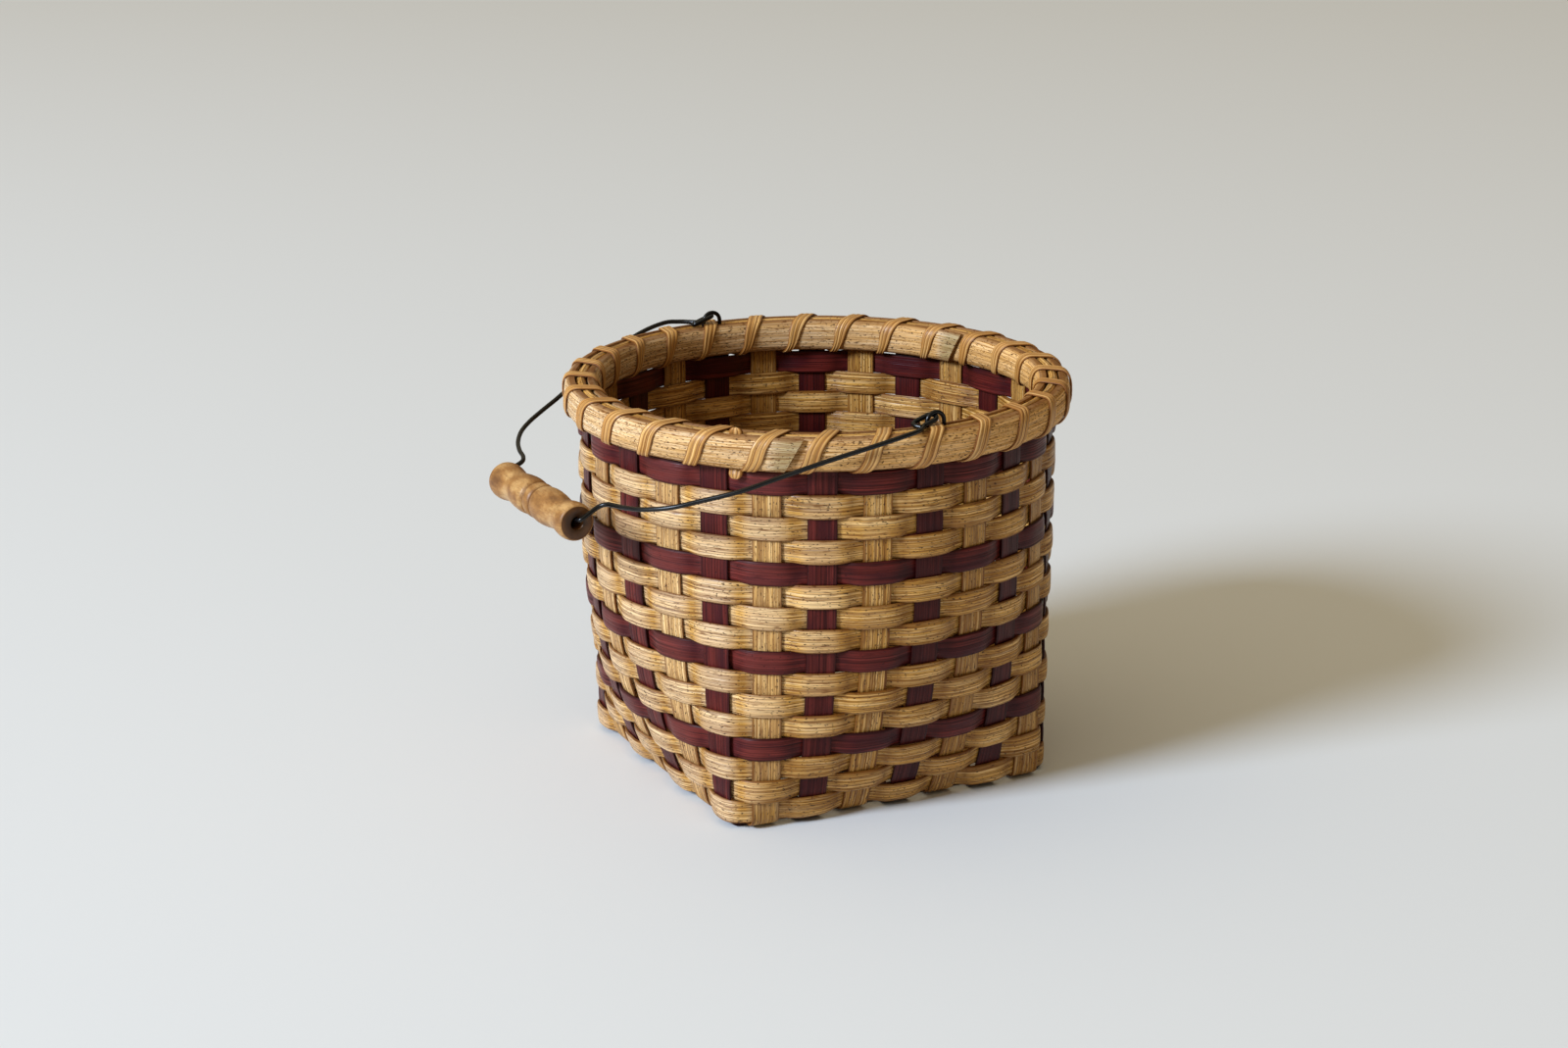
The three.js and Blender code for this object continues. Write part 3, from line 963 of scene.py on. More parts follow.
@dataclass(frozen=True)
class Wall:
    """The middle of the wall's thickness: square at the foot, round at the rim.

    Places along it are counted in stakes, anticlockwise from the front wall's left end.

    Attributes:
        per_side: stakes in each wall.
        sides: walls.
        pitch: from stake to stake at the foot.
        foot_half: half the square's side.
        rim_radius: radius of the round top.
        rows: rows of weaving.
        row_pitch: from row to row.
        foot: height where the first row starts.
        flare: power of the curve by which the square opens to the circle.
    """

    per_side: int = 7
    sides: int = 4
    pitch: float = 21.8
    foot_half: float = 78.8
    rim_radius: float = 105.5
    rows: int = 16
    row_pitch: float = 10.02
    foot: float = 3.0
    flare: float = 3.1

    @property
    def stakes(self) -> int:
        """How many stake ends stand in the wall."""
        return self.per_side * self.sides

    def rim_angle(self, stake: np.ndarray | float) -> np.ndarray:
        """The direction of a place on the rim, in radians."""
        return (np.asarray(stake, float) - (self.per_side - 1) / 2) * 2 * math.pi / self.stakes - math.pi / 2

    def opening(self, z: np.ndarray | float) -> np.ndarray:
        """How far the wall has opened from square to round at a height, from 0 to 1."""
        share = np.clip((np.asarray(z, float) - self.foot) / (self.rows * self.row_pitch), 0, 1)
        return 1 - (1 - share) ** self.flare

    def foot_plan(self, stake: np.ndarray) -> np.ndarray:
        """The square foot's outline with its rounded corners.

        Args:
            stake: places along the wall.

        Returns:
            The x and y of each.
        """
        stake = np.mod(stake, self.stakes)
        side = np.floor(stake / self.per_side)
        place = stake - side * self.per_side
        last = self.per_side - 1
        corner = self.foot_half - last / 2 * self.pitch
        turn = np.clip(place - last, 0, 1) * math.pi / 2
        x = (np.minimum(place, last) - last / 2) * self.pitch + corner * np.sin(turn)
        y = -self.foot_half + corner * (1 - np.cos(turn))
        return np.stack(turned_pair(x, y, side * math.pi / 2), 1)

    def point(self, stake: np.ndarray, z: np.ndarray) -> np.ndarray:
        """Where a place along the wall meets a height.

        Args:
            stake: places along the wall.
            z: a height for each.

        Returns:
            The points.
        """
        open_share = self.opening(z)[:, None]
        angle = self.rim_angle(stake)
        rim = self.rim_radius * np.stack([np.cos(angle), np.sin(angle)], 1)
        plan = self.foot_plan(stake) * (1 - open_share) + rim * open_share
        return np.column_stack([plan, z])

    def frame(self, stake: np.ndarray, z: np.ndarray) -> tuple[np.ndarray, np.ndarray]:
        """The way out of the wall and the way up it.

        Args:
            stake: places along the wall.
            z: a height for each.

        Returns:
            The outward and the upward directions.
        """
        step = 0.05
        ahead = self.point(stake + step, z) - self.point(stake - step, z)
        rise = self.point(stake, z + step) - self.point(stake, z - step)
        out = unit(np.cross(ahead, rise))
        return out, unit(rise - out * np.sum(rise * out, axis=1, keepdims=True))

    def stake_turn(self, stake: int, z: np.ndarray) -> np.ndarray:
        """The direction that a stake's face looks in: square at the foot, radial at the rim.

        Args:
            stake: which stake end.
            z: heights on it.

        Returns:
            The direction at each height, in radians.
        """
        square = (stake // self.per_side) * math.pi / 2 - math.pi / 2
        share = self.opening(z)
        return square * (1 - share) + self.rim_angle(stake) * share


@dataclass
class Weave:
    """The stakes and the rows of weaving.

    Attributes:
        sweeper: the tree that makes each strip.
        finishes: the built reed materials.
        wall: the surface that it follows.
        stake_width: half-inch flat reed.
        stake_thick: its thickness.
        stake_top: where the stakes are cut off, between the hoops.
        weaver_width: three-eighths-inch flat-oval reed where it passes between stakes.
        pressed_width: how much wider it is where it is bent round a stake.
        weaver_face: how far its oval face stands over its edges.
        bulge: how far a weaver swings each way from its middle line.
        set_back: how far that line lies inside the wall's middle, because the weaver's oval face looks out.
        uneven_bulge: how much that swing varies, as a share. Waves along a row are counted in stakes.
        uneven_height: how far a row wanders up and down.
        uneven_roll: how far it leans in and out, as a slope.
        give: how far a stake is pushed the other way.
        give_full: height from which it is pushed that far.
        lap: how many stakes a row's two ends overlap by.
        lap_step: how far a row's lap lies on from that of the row below, in pairs of stakes.
        overrun: how far an end goes past the last stake that it lies behind, counted in stakes.
        pared_length: stakes over which an end grows from its pared thickness to the full one.
        pared: how much of its face is pared away.
        end_shift: how far the last end is moved out there, and the first one in.
        end_lift: how much higher the last end lies there.
        steps: points of a row between two stakes.
        climb_points: points of a stake on a wall.
        bend_points: points of its bend.
        base_points: its points on the base.
        bend_start: where a stake's bend starts on the base, in from the wall.
        bend_reach: length of the bend's handles.
        bend_top: where the bend ends on the wall.
        base_low: height of a stake's middle where it passes under another in the base.
        base_high: the same where it passes over.
        rim_row_bottom: lower edge of the row that the hoops hide.
        dyed_row_every: one row in so many is dyed, counted from the top.
        settled_and_shaded: how far the stain has pooled, with painted shade added, where a weaver dips beside
            a stake, and the dye on the stakes.
        stake_settled: how much of that pooled on a natural stake.
        painted_highlight_side: the side where the reeds are painted paler, towards the lamp, in radians.
        faded: how much paler that painted highlight makes them there.
        painted_highlight_edge: cosine of the angle from that side at which the painted highlight starts.
        painted_highlight_above: height from which the stakes carry the full painted highlight, which is less
            near the foot.
        stake_number: the number of the first stake.
        weaver_section: cross-section of the weavers.
        stake_section: cross-section of the stakes.
    """

    sweeper: SweepTree
    finishes: dict[Reed, bpy.types.Material]
    wall: Wall = field(default_factory=Wall)
    stake_width: float = 12.7
    stake_thick: float = 1.1
    stake_top: float = 175.6
    weaver_width: float = 10.05
    pressed_width: float = 0.65
    weaver_face: float = 1.15
    bulge: float = 1.62
    set_back: float = 0.38
    uneven_bulge: Uneven = Uneven(0.08, 5.0)
    uneven_height: Uneven = Uneven(0.16, 9.0, seed=40)
    uneven_roll: Uneven = Uneven(0.05, 3.5, seed=80)
    give: float = 0.22
    give_full: float = 18.0
    lap: float = 2.0
    lap_step: int = 5
    overrun: float = 0.2
    pared_length: float = 0.8
    pared: float = 0.45
    end_shift: float = 0.45
    end_lift: float = 0.25
    steps: int = 16
    climb_points: int = 130
    bend_points: int = 14
    base_points: int = 160
    bend_start: float = 4.6
    bend_reach: float = 3.1
    bend_top: float = 6.0
    base_low: float = 0.61
    base_high: float = 1.9
    rim_row_bottom: float = 165.4
    dyed_row_every: int = 4
    settled_and_shaded: float = 0.65
    stake_settled: float = 0.5
    painted_highlight_side: float = math.radians(196)
    faded: float = 0.54
    painted_highlight_edge: float = 0.3
    painted_highlight_above: float = 12.0
    stake_number: int = 100
    weaver_section: Section = Section(sides=40, edge=0.75, face=0.5, relief=0.14, fibre=0.6)
    stake_section: Section = Section(
        sides=40, edge=0.75, face=0.25, back=0.25, depth=1.0, relief=0.16, fibre=0.6
    )

    def build(self) -> None:
        """Makes every stake and every row, and seats each in place of its plain reed."""
        for i in range(self.wall.per_side):
            front, rear = i, 3 * self.wall.per_side - 1 - i
            self._stake(f"stake_front_rear_{i + 1}", front, rear, i % 2 == 0)
            left, right = self.wall.stakes - 1 - i, self.wall.per_side + i
            self._stake(f"stake_left_right_{i + 1}", left, right, i % 2 == 1)
        for row in range(1, self.wall.rows + 1):
            from_top = self.wall.rows - row
            middle = self.wall.foot + (row - 0.5) * self.wall.row_pitch
            dye = Reed.DYED if from_top % self.dyed_row_every == 0 else Reed.NATURAL
            self._weaver(f"weaver_row_{row:02d}", row, middle, 1 if from_top % 2 == 0 else -1, dye)
        middle = self.rim_row_bottom + self.weaver_width / 2
        self._weaver("rim_row_weaver", self.wall.rows + 1, middle, -1, Reed.NATURAL)

    def _seat(self, node: str, guide: Guide, section: Section, dye: Reed, number: int) -> None:
        """Sweeps a strip, and seats it in the basket in place of a node."""
        slot = "dyed_reed" if dye is Reed.DYED else "natural_reed"
        self.sweeper.lay(node, "reed", guide, section, self.finishes[dye], number, slot)

    def _weaver(self, node: str, number: int, middle: float, side: int, dye: Reed) -> None:
        """Weaves one row: a strip whose ends overlap, outside and inside the stakes in turn.

        Args:
            node: the row's name.
            number: its seed.
            middle: the height of its middle line.
            side: 1 where it passes outside the natural stakes, -1 where it passes outside the dyed ones.
            dye: its finish.
        """
        # It starts and ends behind a stake, at a place of its own on the way round.
        pair = (number * self.lap_step) % (self.wall.stakes // 2)
        first = 2 * pair + (1 if side > 0 else 0)
        last = first + self.wall.stakes + self.lap
        start, end = first - self.overrun, last + self.overrun
        stake = np.linspace(start, end, int((end - start) * self.steps) + 1)
        lower = 1 - smooth_step(first + self.lap, first + self.lap + self.pared_length, stake)
        upper = smooth_step(last - self.lap - self.pared_length, last - self.lap, stake)
        swing = np.sin(math.pi / 2 * np.cos(math.pi * stake)) * side
        reach = self.bulge * (1 + self.uneven_bulge.at(number, stake))
        offset = swing * reach - self.set_back + self.end_shift * (upper - lower)
        z = middle + self.uneven_height.at(number, stake) + self.end_lift * upper
        out, up = self.wall.frame(stake, z)
        points = self.wall.point(stake, z) + out * offset[:, None]
        up = unit(up + out * self.uneven_roll.at(number, stake)[:, None])
        thick = self.weaver_face * (1 - self.pared * np.maximum(lower, upper))
        width = self.weaver_width + self.pressed_width * np.abs(swing)
        guide = Guide.along(points, up, width, thick)
        # Painted shade where the weaver dips beside a stake, over stain that pooled there, and a painted
        # highlight on the side towards the lamp.
        guide.bare = self.settled_and_shaded * (np.abs(swing) - 1) + self._painted_highlight(out)
        self._seat(node, guide, self.weaver_section, dye, number)

    def _painted_highlight(self, out: np.ndarray) -> np.ndarray:
        """The painted highlight where a reed faces some way: paler on the side towards the lamp.

        Args:
            out: the way that it faces at each point.

        Returns:
            The painted highlight at each.
        """
        return self.faded * smooth_step(self.painted_highlight_edge, 1.0, out @ way_to(self.painted_highlight_side))

    def _climb(self, stake: int) -> tuple[np.ndarray, np.ndarray]:
        """One stake end from the top of its bend to the rim.

        Args:
            stake: which stake end. Every other one is dyed.

        Returns:
            Its points, from the foot up, and the way along the wall at each.
        """
        z = np.linspace(self.bend_top, self.stake_top, self.climb_points)
        out, along = ring_directions(self.wall.stake_turn(stake, z))
        row = (self.wall.foot + self.wall.rows * self.wall.row_pitch - z) / self.wall.row_pitch - 0.5
        parity = -1 if stake % 2 else 1
        push = -self.give * np.cos(math.pi * row) * parity * smooth_step(0, self.give_full, z)
        points = self.wall.point(np.full_like(z, stake), z) + out * push[:, None]
        return points, along

    def _bend(self, foot: np.ndarray, way: np.ndarray, climb: np.ndarray) -> np.ndarray:
        """The bend by which a stake turns up from the base into a wall.

        Args:
            foot: where it leaves the base.
            way: the direction that it leaves in.
            climb: the stake end's points, from the foot up.

        Returns:
            The bend's points, without its ends.
        """
        handle = climb[0] - unit(climb[1] - climb[0]) * self.bend_reach
        inner = foot + way * self.bend_reach
        t = np.linspace(0, 1, self.bend_points)[1:-1, None]
        leaving = (1 - t) ** 3 * foot + 3 * t * (1 - t) ** 2 * inner
        return leaving + 3 * t**2 * (1 - t) * handle + t**3 * climb[0]

    def _stake(self, node: str, down: int, up: int, over_first: bool) -> None:
        """Makes one stake: down a wall, over and under across the base, and up the opposite wall.

        Args:
            node: the stake's name.
            down: the stake end that it starts from.
            up: the one that it ends at.
            over_first: whether it lies over the first stake that it crosses.
        """
        down_points, down_wide = self._climb(down)
        up_points, up_wide = self._climb(up)
        start, end = down_points[0], up_points[0]
        travel = unit((end - start) * FLATTEN)
        middle = (start + end) / 2 * FLATTEN
        reach = self.wall.foot_half - self.bend_start
        place = np.linspace(-reach, reach, self.base_points)
        crossing = place / self.wall.pitch + (self.wall.per_side - 1) / 2
        wave = np.cos(math.pi * crossing) * (1 if over_first else -1)
        wave = np.sin(math.pi / 2 * np.sin(math.pi / 2 * wave))
        level = (self.base_low + self.base_high) / 2 + wave * (self.base_high - self.base_low) / 2
        base = middle + place[:, None] * travel + level[:, None] * UP
        first_bend = self._bend(base[0], -travel, down_points)[::-1]
        last_bend = self._bend(base[-1], travel, up_points)
        points = np.vstack([down_points[::-1], first_bend, base, last_bend, up_points])
        flat = np.broadcast_to(down_wide[0], (len(first_bend) + len(base) + len(last_bend), 3))
        wide = np.vstack([down_wide[::-1], flat, -up_wide])
        guide = Guide.along(points, wide, self.stake_width, self.stake_thick / 2)
        # The dye pooled more on the stakes than the stain did.
        dye, share = (Reed.DYED, 1.0) if down % 2 else (Reed.NATURAL, self.stake_settled)
        # Painted highlight: the stakes grow paler on the side towards the lamp, less so near the foot.
        faded = self._painted_highlight(unit(points * FLATTEN)) * smooth_step(0, self.painted_highlight_above, points[:, 2])
        guide.bare = faded - self.settled_and_shaded * share
        self._seat(node, guide, self.stake_section, dye, self.stake_number + down)


@dataclass
class Rim:
    """The hoops, the filler between them and the lashing that binds them.

    Attributes:
        sweeper: the tree that makes each strip.
        finishes: the built reed materials.
        wall: the wall under the rim.
        bottom: lower edge of the hoops.
        height: their height.
        hoop_thick: their thickness in the middle of the oval.
        hoop_tip: thickness left at the end that shows.
        outer_face: radius of the outer hoop's flat face.
        inner_face: radius of the inner hoop's flat face.
        lap: degrees over which a hoop's pared ends lie on each other.
        lap_start: share of the lap at which the covered end starts.
        lap_gap: air between the two ends.
        lap_clear: degrees from the covering end's cut to where the strip under it is whole again.
        lap_swell: degrees over which it grows to its full thickness there.
        cut_skew: degrees by which the end's slanting cut leans each way.
        cut_reach: over how many times that angle the edges turn towards the cut.
        hoop_points: points along a hoop.
        outer_end: place of the outer hoop's visible end, counted in stakes.
        inner_end: the same for the inner hoop, which is wound the other way.
        bare_length: degrees beside the cut in which the stain took less. It missed the last third.
        stain_side: the side, away from the lamp, where the hoops are painted darker and more honey as painted
            shade, in radians.
        stain_share: how strong that painted shade is there.
        filler_radius: round reed that hides the wall's top.
        filler_ring: radius of the ring that it makes.
        filler_start: where its two ends meet, counted in stakes.
        filler_points: points along it.
        lash_width: width of the lashing.
        lash_thick: its thickness.
        lash_under: how much of that lies under its guide.
        lash_air: air between it and a hoop.
        lash_start: the space where it starts, counted in stakes.
        lash_lean: how it leans on the face of the rim, in degrees from upright.
        lash_round: power that makes its way round a hoop a little squarer than an ellipse.
        lash_taper: how much narrower it seems low on the inner side, where it is pulled on edge.
        lash_points: points of its way over one hoop.
        over_outer: from where to where in its space it climbs over the outer hoop.
        over_inner: from where to where it goes down the inner one.
        hand_ahead: how far ahead of the middle of its spaces it was wound, counted in stakes.
        hand_sway: how much further ahead on the far side.
        hand_first: how much wider the first turn was spaced.
        tail_place: where its tucked end stands, counted in stakes.
        tail_low: height of the tucked end's lower tip.
        tail_high: height of its upper tip.
        tail_bend: height from which its upper tip leans out.
        tail_ring: how far from the basket's middle it is tucked.
        tail_lean: how far its lower and its upper tip stand out from there.
        tail_width: its width.
        tail_fold: how thick it is, as it is folded double.
        tail_blunt: how much of its width and thickness is left at its rounded tips.
        tail_points: points along it.
        first_number: the number of the rim's first strip.
        hoop_section: cross-section of the hoops.
        filler_section: cross-section of the filler.
        lash_section: cross-section of the lashing.
    """

    sweeper: SweepTree
    finishes: dict[Reed, bpy.types.Material]
    wall: Wall = field(default_factory=Wall)
    bottom: float = 164.8
    height: float = 14.8
    hoop_thick: float = 4.9
    hoop_tip: float = 1.6
    outer_face: float = 108.7
    inner_face: float = 102.75
    lap: float = 22.0
    lap_start: float = 0.25
    lap_gap: float = 0.15
    lap_clear: float = 0.3
    lap_swell: float = 2.5
    cut_skew: float = 2.2
    cut_reach: float = 3.0
    hoop_points: int = 560
    outer_end: float = 0.52
    inner_end: float = 11.7
    bare_length: float = 7.0
    stain_side: float = math.radians(-40)
    stain_share: float = 0.75
    filler_radius: float = 2.2
    filler_ring: float = 105.8
    filler_start: float = 6.5
    filler_points: int = 260
    lash_width: float = 5.7
    lash_thick: float = 1.2
    lash_under: float = 0.35
    lash_air: float = 0.12
    lash_start: float = -0.43
    lash_lean: float = 36.0
    lash_round: float = 0.74
    lash_taper: float = 0.5
    lash_points: int = 17
    over_outer: Span = (0.04, 0.5)
    over_inner: Span = (0.59, 0.96)
    hand_ahead: float = 0.015
    hand_sway: float = 0.035
    hand_first: float = 0.09
    tail_place: float = -0.52
    tail_low: float = 160.0
    tail_high: float = 182.2
    tail_bend: float = 178.0
    tail_ring: float = 107.9
    tail_lean: Span = (1.6, 0.6)
    tail_width: float = 6.27
    tail_fold: float = 2.6
    tail_blunt: float = 0.2
    tail_points: int = 90
    first_number: int = 201
    hoop_section: Section = Section(
        sides=40, edge=0.75, face=0.66, back=0.2, depth=0.02, relief=0.1, fibre=1.4
    )
    filler_section: Section = Section.rod(14, relief=0.2)
    lash_section: Section = Section(
        sides=48, edge=0.85, face=0.5, back=0.3, depth=0.6, ridges=3, groove=0.35, relief=0.1, fibre=0.9
    )

    @property
    def middle(self) -> float:
        """Height of the hoops' middle line."""
        return self.bottom + self.height / 2

    def build(self) -> None:
        """Makes the rim's pieces and seats each in place of its plain one."""
        outer = self._hoop(self.outer_face, 1, self.outer_end)
        inner = self._hoop(self.inner_face, -1, self.inner_end)
        pieces = (
            ("outer_rim_hoop", "reed", outer, self.hoop_section, Reed.RIM, "rim_reed"),
            ("inner_rim_hoop", "reed", inner, self.hoop_section, Reed.RIM, "rim_reed"),
            ("rim_filler_reed", "round", self._filler(), self.filler_section, Reed.NATURAL, "filler_reed"),
            ("rim_lashing", "cane", self._lashing(), self.lash_section, Reed.CANE, "lashing_reed"),
            ("rim_lashing", "tail", self._tail(), self.lash_section, Reed.CANE, "lashing_reed"),
        )
        for number, (node, part, guide, section, reed, slot) in enumerate(pieces, self.first_number):
            self.sweeper.lay(node, part, guide, section, self.finishes[reed], number, slot)

    def _hoop(self, face: float, sense: int, end_stake: float) -> Guide:
        """The guide of a hoop whose pared ends lie on each other.

        Args:
            face: radius of its flat face.
            sense: 1 where its oval side looks out and it is wound anticlockwise, -1 for both the other way.
            end_stake: where its covering end is cut.

        Returns:
            The guide.
        """
        # Degrees are counted from the end that shows, along the way the hoop is wound.
        whole = self.cut_skew + self.lap_clear - 360
        start = whole - self.lap * (1 - self.lap_start)
        degrees = np.linspace(start, 0, self.hoop_points)
        most = self.hoop_thick - self.hoop_tip
        covered = np.clip((degrees - start) / (whole - start), 0, 1) * (1 - self.lap_start) + self.lap_start
        opened = smooth_step(whole, whole + self.lap_swell, degrees)
        top = (most * covered - self.lap_gap) * (1 - opened) + self.hoop_thick * opened
        floor = np.clip((degrees + self.lap) / self.lap, 0, 1) * most
        out, along = ring_directions(float(self.wall.rim_angle(end_stake)) + sense * np.radians(degrees))
        points = out * (face + sense * floor)[:, None] + self.middle * UP
        slant = smooth_step(-self.cut_reach * self.cut_skew, 0, degrees)
        lean = np.radians(self.cut_skew) * face * slant
        wide = UP * self.height / 2 + along * (sense * lean)[:, None]
        bare = smooth_step(-self.bare_length, -self.bare_length / 3, degrees)
        # Painted shade: the hoops grow darker and more honey towards the side away from the lamp, but not at
        # the cut end.
        stain = self.stain_share * (1 + out @ way_to(self.stain_side)) / 2 * (1 - bare)
        return Guide(points, wide, out * (sense * (top - floor))[:, None], bare - stain)

    def _filler(self) -> Guide:
        """The guide of the round reed between the hoops.

        Returns:
            The guide.
        """
        turn = np.linspace(0, 2 * math.pi, self.filler_points) + float(self.wall.rim_angle(self.filler_start))
        out, _ = ring_directions(turn)
        z = self.bottom + self.height - self.filler_radius
        return Guide.wire(out * self.filler_ring + z * UP, UP, self.filler_radius)

    def _over(self, face: float, sense: int, upwards: bool, shares: Span) -> list[tuple]:
        """The lashing's way over one hoop's oval side.

        Args:
            face: radius of the hoop's flat face.
            sense: 1 for the outer hoop, -1 for the inner one.
            upwards: whether it climbs there.
            shares: how far round the rim it starts and ends, as shares of a space.

        Returns:
            For each point its share, radius and height, and how far its face looks out and up.
        """
        lift = self.lash_thick * self.lash_under + self.lash_air
        quarter = math.pi / 2 if upwards else -math.pi / 2
        turns = np.linspace(-quarter, quarter, self.lash_points)
        made = []
        for turn, share in zip(turns, np.linspace(*shares, self.lash_points)):
            c, s = abs(math.cos(turn)), math.sin(turn)
            radius = face + sense * (self.hoop_thick + lift) * c**self.lash_round
            rise = (self.height / 2 + lift) * math.copysign(abs(s) ** self.lash_round, s)
            made.append((share, radius, self.middle + rise, sense * c, s))
        return made

    def _lashing(self) -> Guide:
        """The guide of the strip that is wound round both hoops, one turn in each space between stakes.

        Returns:
            The guide.
        """
        wrap = [
            *self._over(self.outer_face, 1, True, self.over_outer),
            *self._over(self.inner_face, -1, False, self.over_inner),
        ]
        rows = []
        for k in range(self.wall.stakes):
            # The hand that wound it kept a little ahead on the far side, and spaced the first turns wide.
            sway = self.hand_sway * math.cos(2 * math.pi * k / self.wall.stakes)
            shift = self.hand_ahead - sway + self.hand_first * math.exp(-2 * k)
            rows += [(self.lash_start + shift + k + share, *rest) for share, *rest in wrap]
        stake, radius, z, outward, upward = np.array(rows).T[:, :, None]
        out, along = ring_directions(self.wall.rim_angle(stake[:, 0]))
        # Inside it is pulled on edge as it goes down, so that it seems to taper.
        lowered = np.clip((self.bottom + self.height - z) / self.height, 0, 1) * (radius < self.inner_face)
        slanting = self.lash_width / 2 / math.cos(math.radians(self.lash_lean))
        half = slanting * (1 - self.lash_taper * lowered)
        facing = unit(out * outward + UP * upward)
        return Guide(out * radius + UP * z, -along * half, facing * self.lash_thick / 2)

    def _tail(self) -> Guide:
        """The guide of the lashing's tucked end, which sticks out over and under the outer hoop.

        Returns:
            The guide.
        """
        z = np.linspace(self.tail_low, self.tail_high, self.tail_points)
        out, along = ring_directions(np.full_like(z, float(self.wall.rim_angle(self.tail_place))))
        low, high = self.tail_lean
        lean = low * smooth_step(self.bottom, self.tail_low, z)
        lean += high * smooth_step(self.tail_bend, self.tail_high, z)
        points = out * (self.tail_ring + lean)[:, None] + z[:, None] * UP
        # Both tips are rounded over.
        from_tip = np.minimum(z - self.tail_low, self.tail_high - z)
        rounded = np.sqrt(1 - (1 - np.clip(from_tip / self.tail_fold, 0, 1)) ** 2)
        full = rounded * (1 - self.tail_blunt) + self.tail_blunt
        return Guide.along(points, -along, self.tail_width * full, self.tail_fold / 2 * full)


@dataclass(frozen=True)
class Pivots:
    """The axis that the bail turns on, through both ears.

    Attributes:
        height: above the floor.
        reach: from the basket's middle to each ear.
        turn: how far the axis stands turned from Y, in radians.
    """

    height: float = 183.4
    reach: float = 103.7
    turn: float = math.radians(1.85)

    def turned(self, points: np.ndarray) -> np.ndarray:
        """Turns points about the upright axis, from the pivots' frame to the basket's.

        Args:
            points: one point, or one to a row.

        Returns:
            The points in the basket's frame.
        """
        x, y = turned_pair(points[..., 0], points[..., 1], self.turn)
        return np.stack([x, y, points[..., 2]], -1)


@dataclass
class Ears:
    """The two wire staples that are pushed down between the wall and the inner hoop.

    Attributes:
        sweeper: the tree that makes the wire.
        wire: the built finish.
        pivots: the axis that they carry.
        radius: of the wire.
        half_span: from the arch's middle to a leg.
        drop: how far the arch's centre lies below the pivot.
        foot: height of the legs' ends.
        arch_points: points of the arch.
        leg_points: points of a leg.
        number: one more than the front ear's number, and one less than the rear ear's.
        section: the wire's cross-section.
    """

    sweeper: SweepTree
    wire: bpy.types.Material
    pivots: Pivots = field(default_factory=Pivots)
    radius: float = 0.95
    half_span: float = 4.2
    drop: float = 2.05
    foot: float = 166.5
    arch_points: int = 40
    leg_points: int = 8
    number: int = 300
    section: Section = Section.rod(16)

    def build(self) -> None:
        """Makes both ears."""
        for node, sign in (("front_ear", -1), ("rear_ear", 1)):
            points = self.pivots.turned(self._staple(sign))
            guide = Guide.wire(points, self.pivots.turned(np.array([0.0, 1.0, 0.0])), self.radius)
            self.sweeper.lay(node, "steel", guide, self.section, self.wire, self.number + sign, "black_wire")

    def _staple(self, sign: int) -> np.ndarray:
        """The points of one ear, in the pivots' frame.

        Args:
            sign: -1 at the front, 1 at the rear.

        Returns:
            Its points.
        """
        centre = self.pivots.height - self.drop
        turn = np.linspace(math.pi, 0, self.arch_points)
        legs = np.linspace(self.foot, centre, self.leg_points)[:-1]
        side = np.full(len(legs), self.half_span)
        x = np.concatenate([-side, self.half_span * np.cos(turn), side])
        z = np.concatenate([legs, centre + self.half_span * np.sin(turn), legs[::-1]])
        return np.stack([x, np.full(len(x), sign * self.pivots.reach), z], 1)


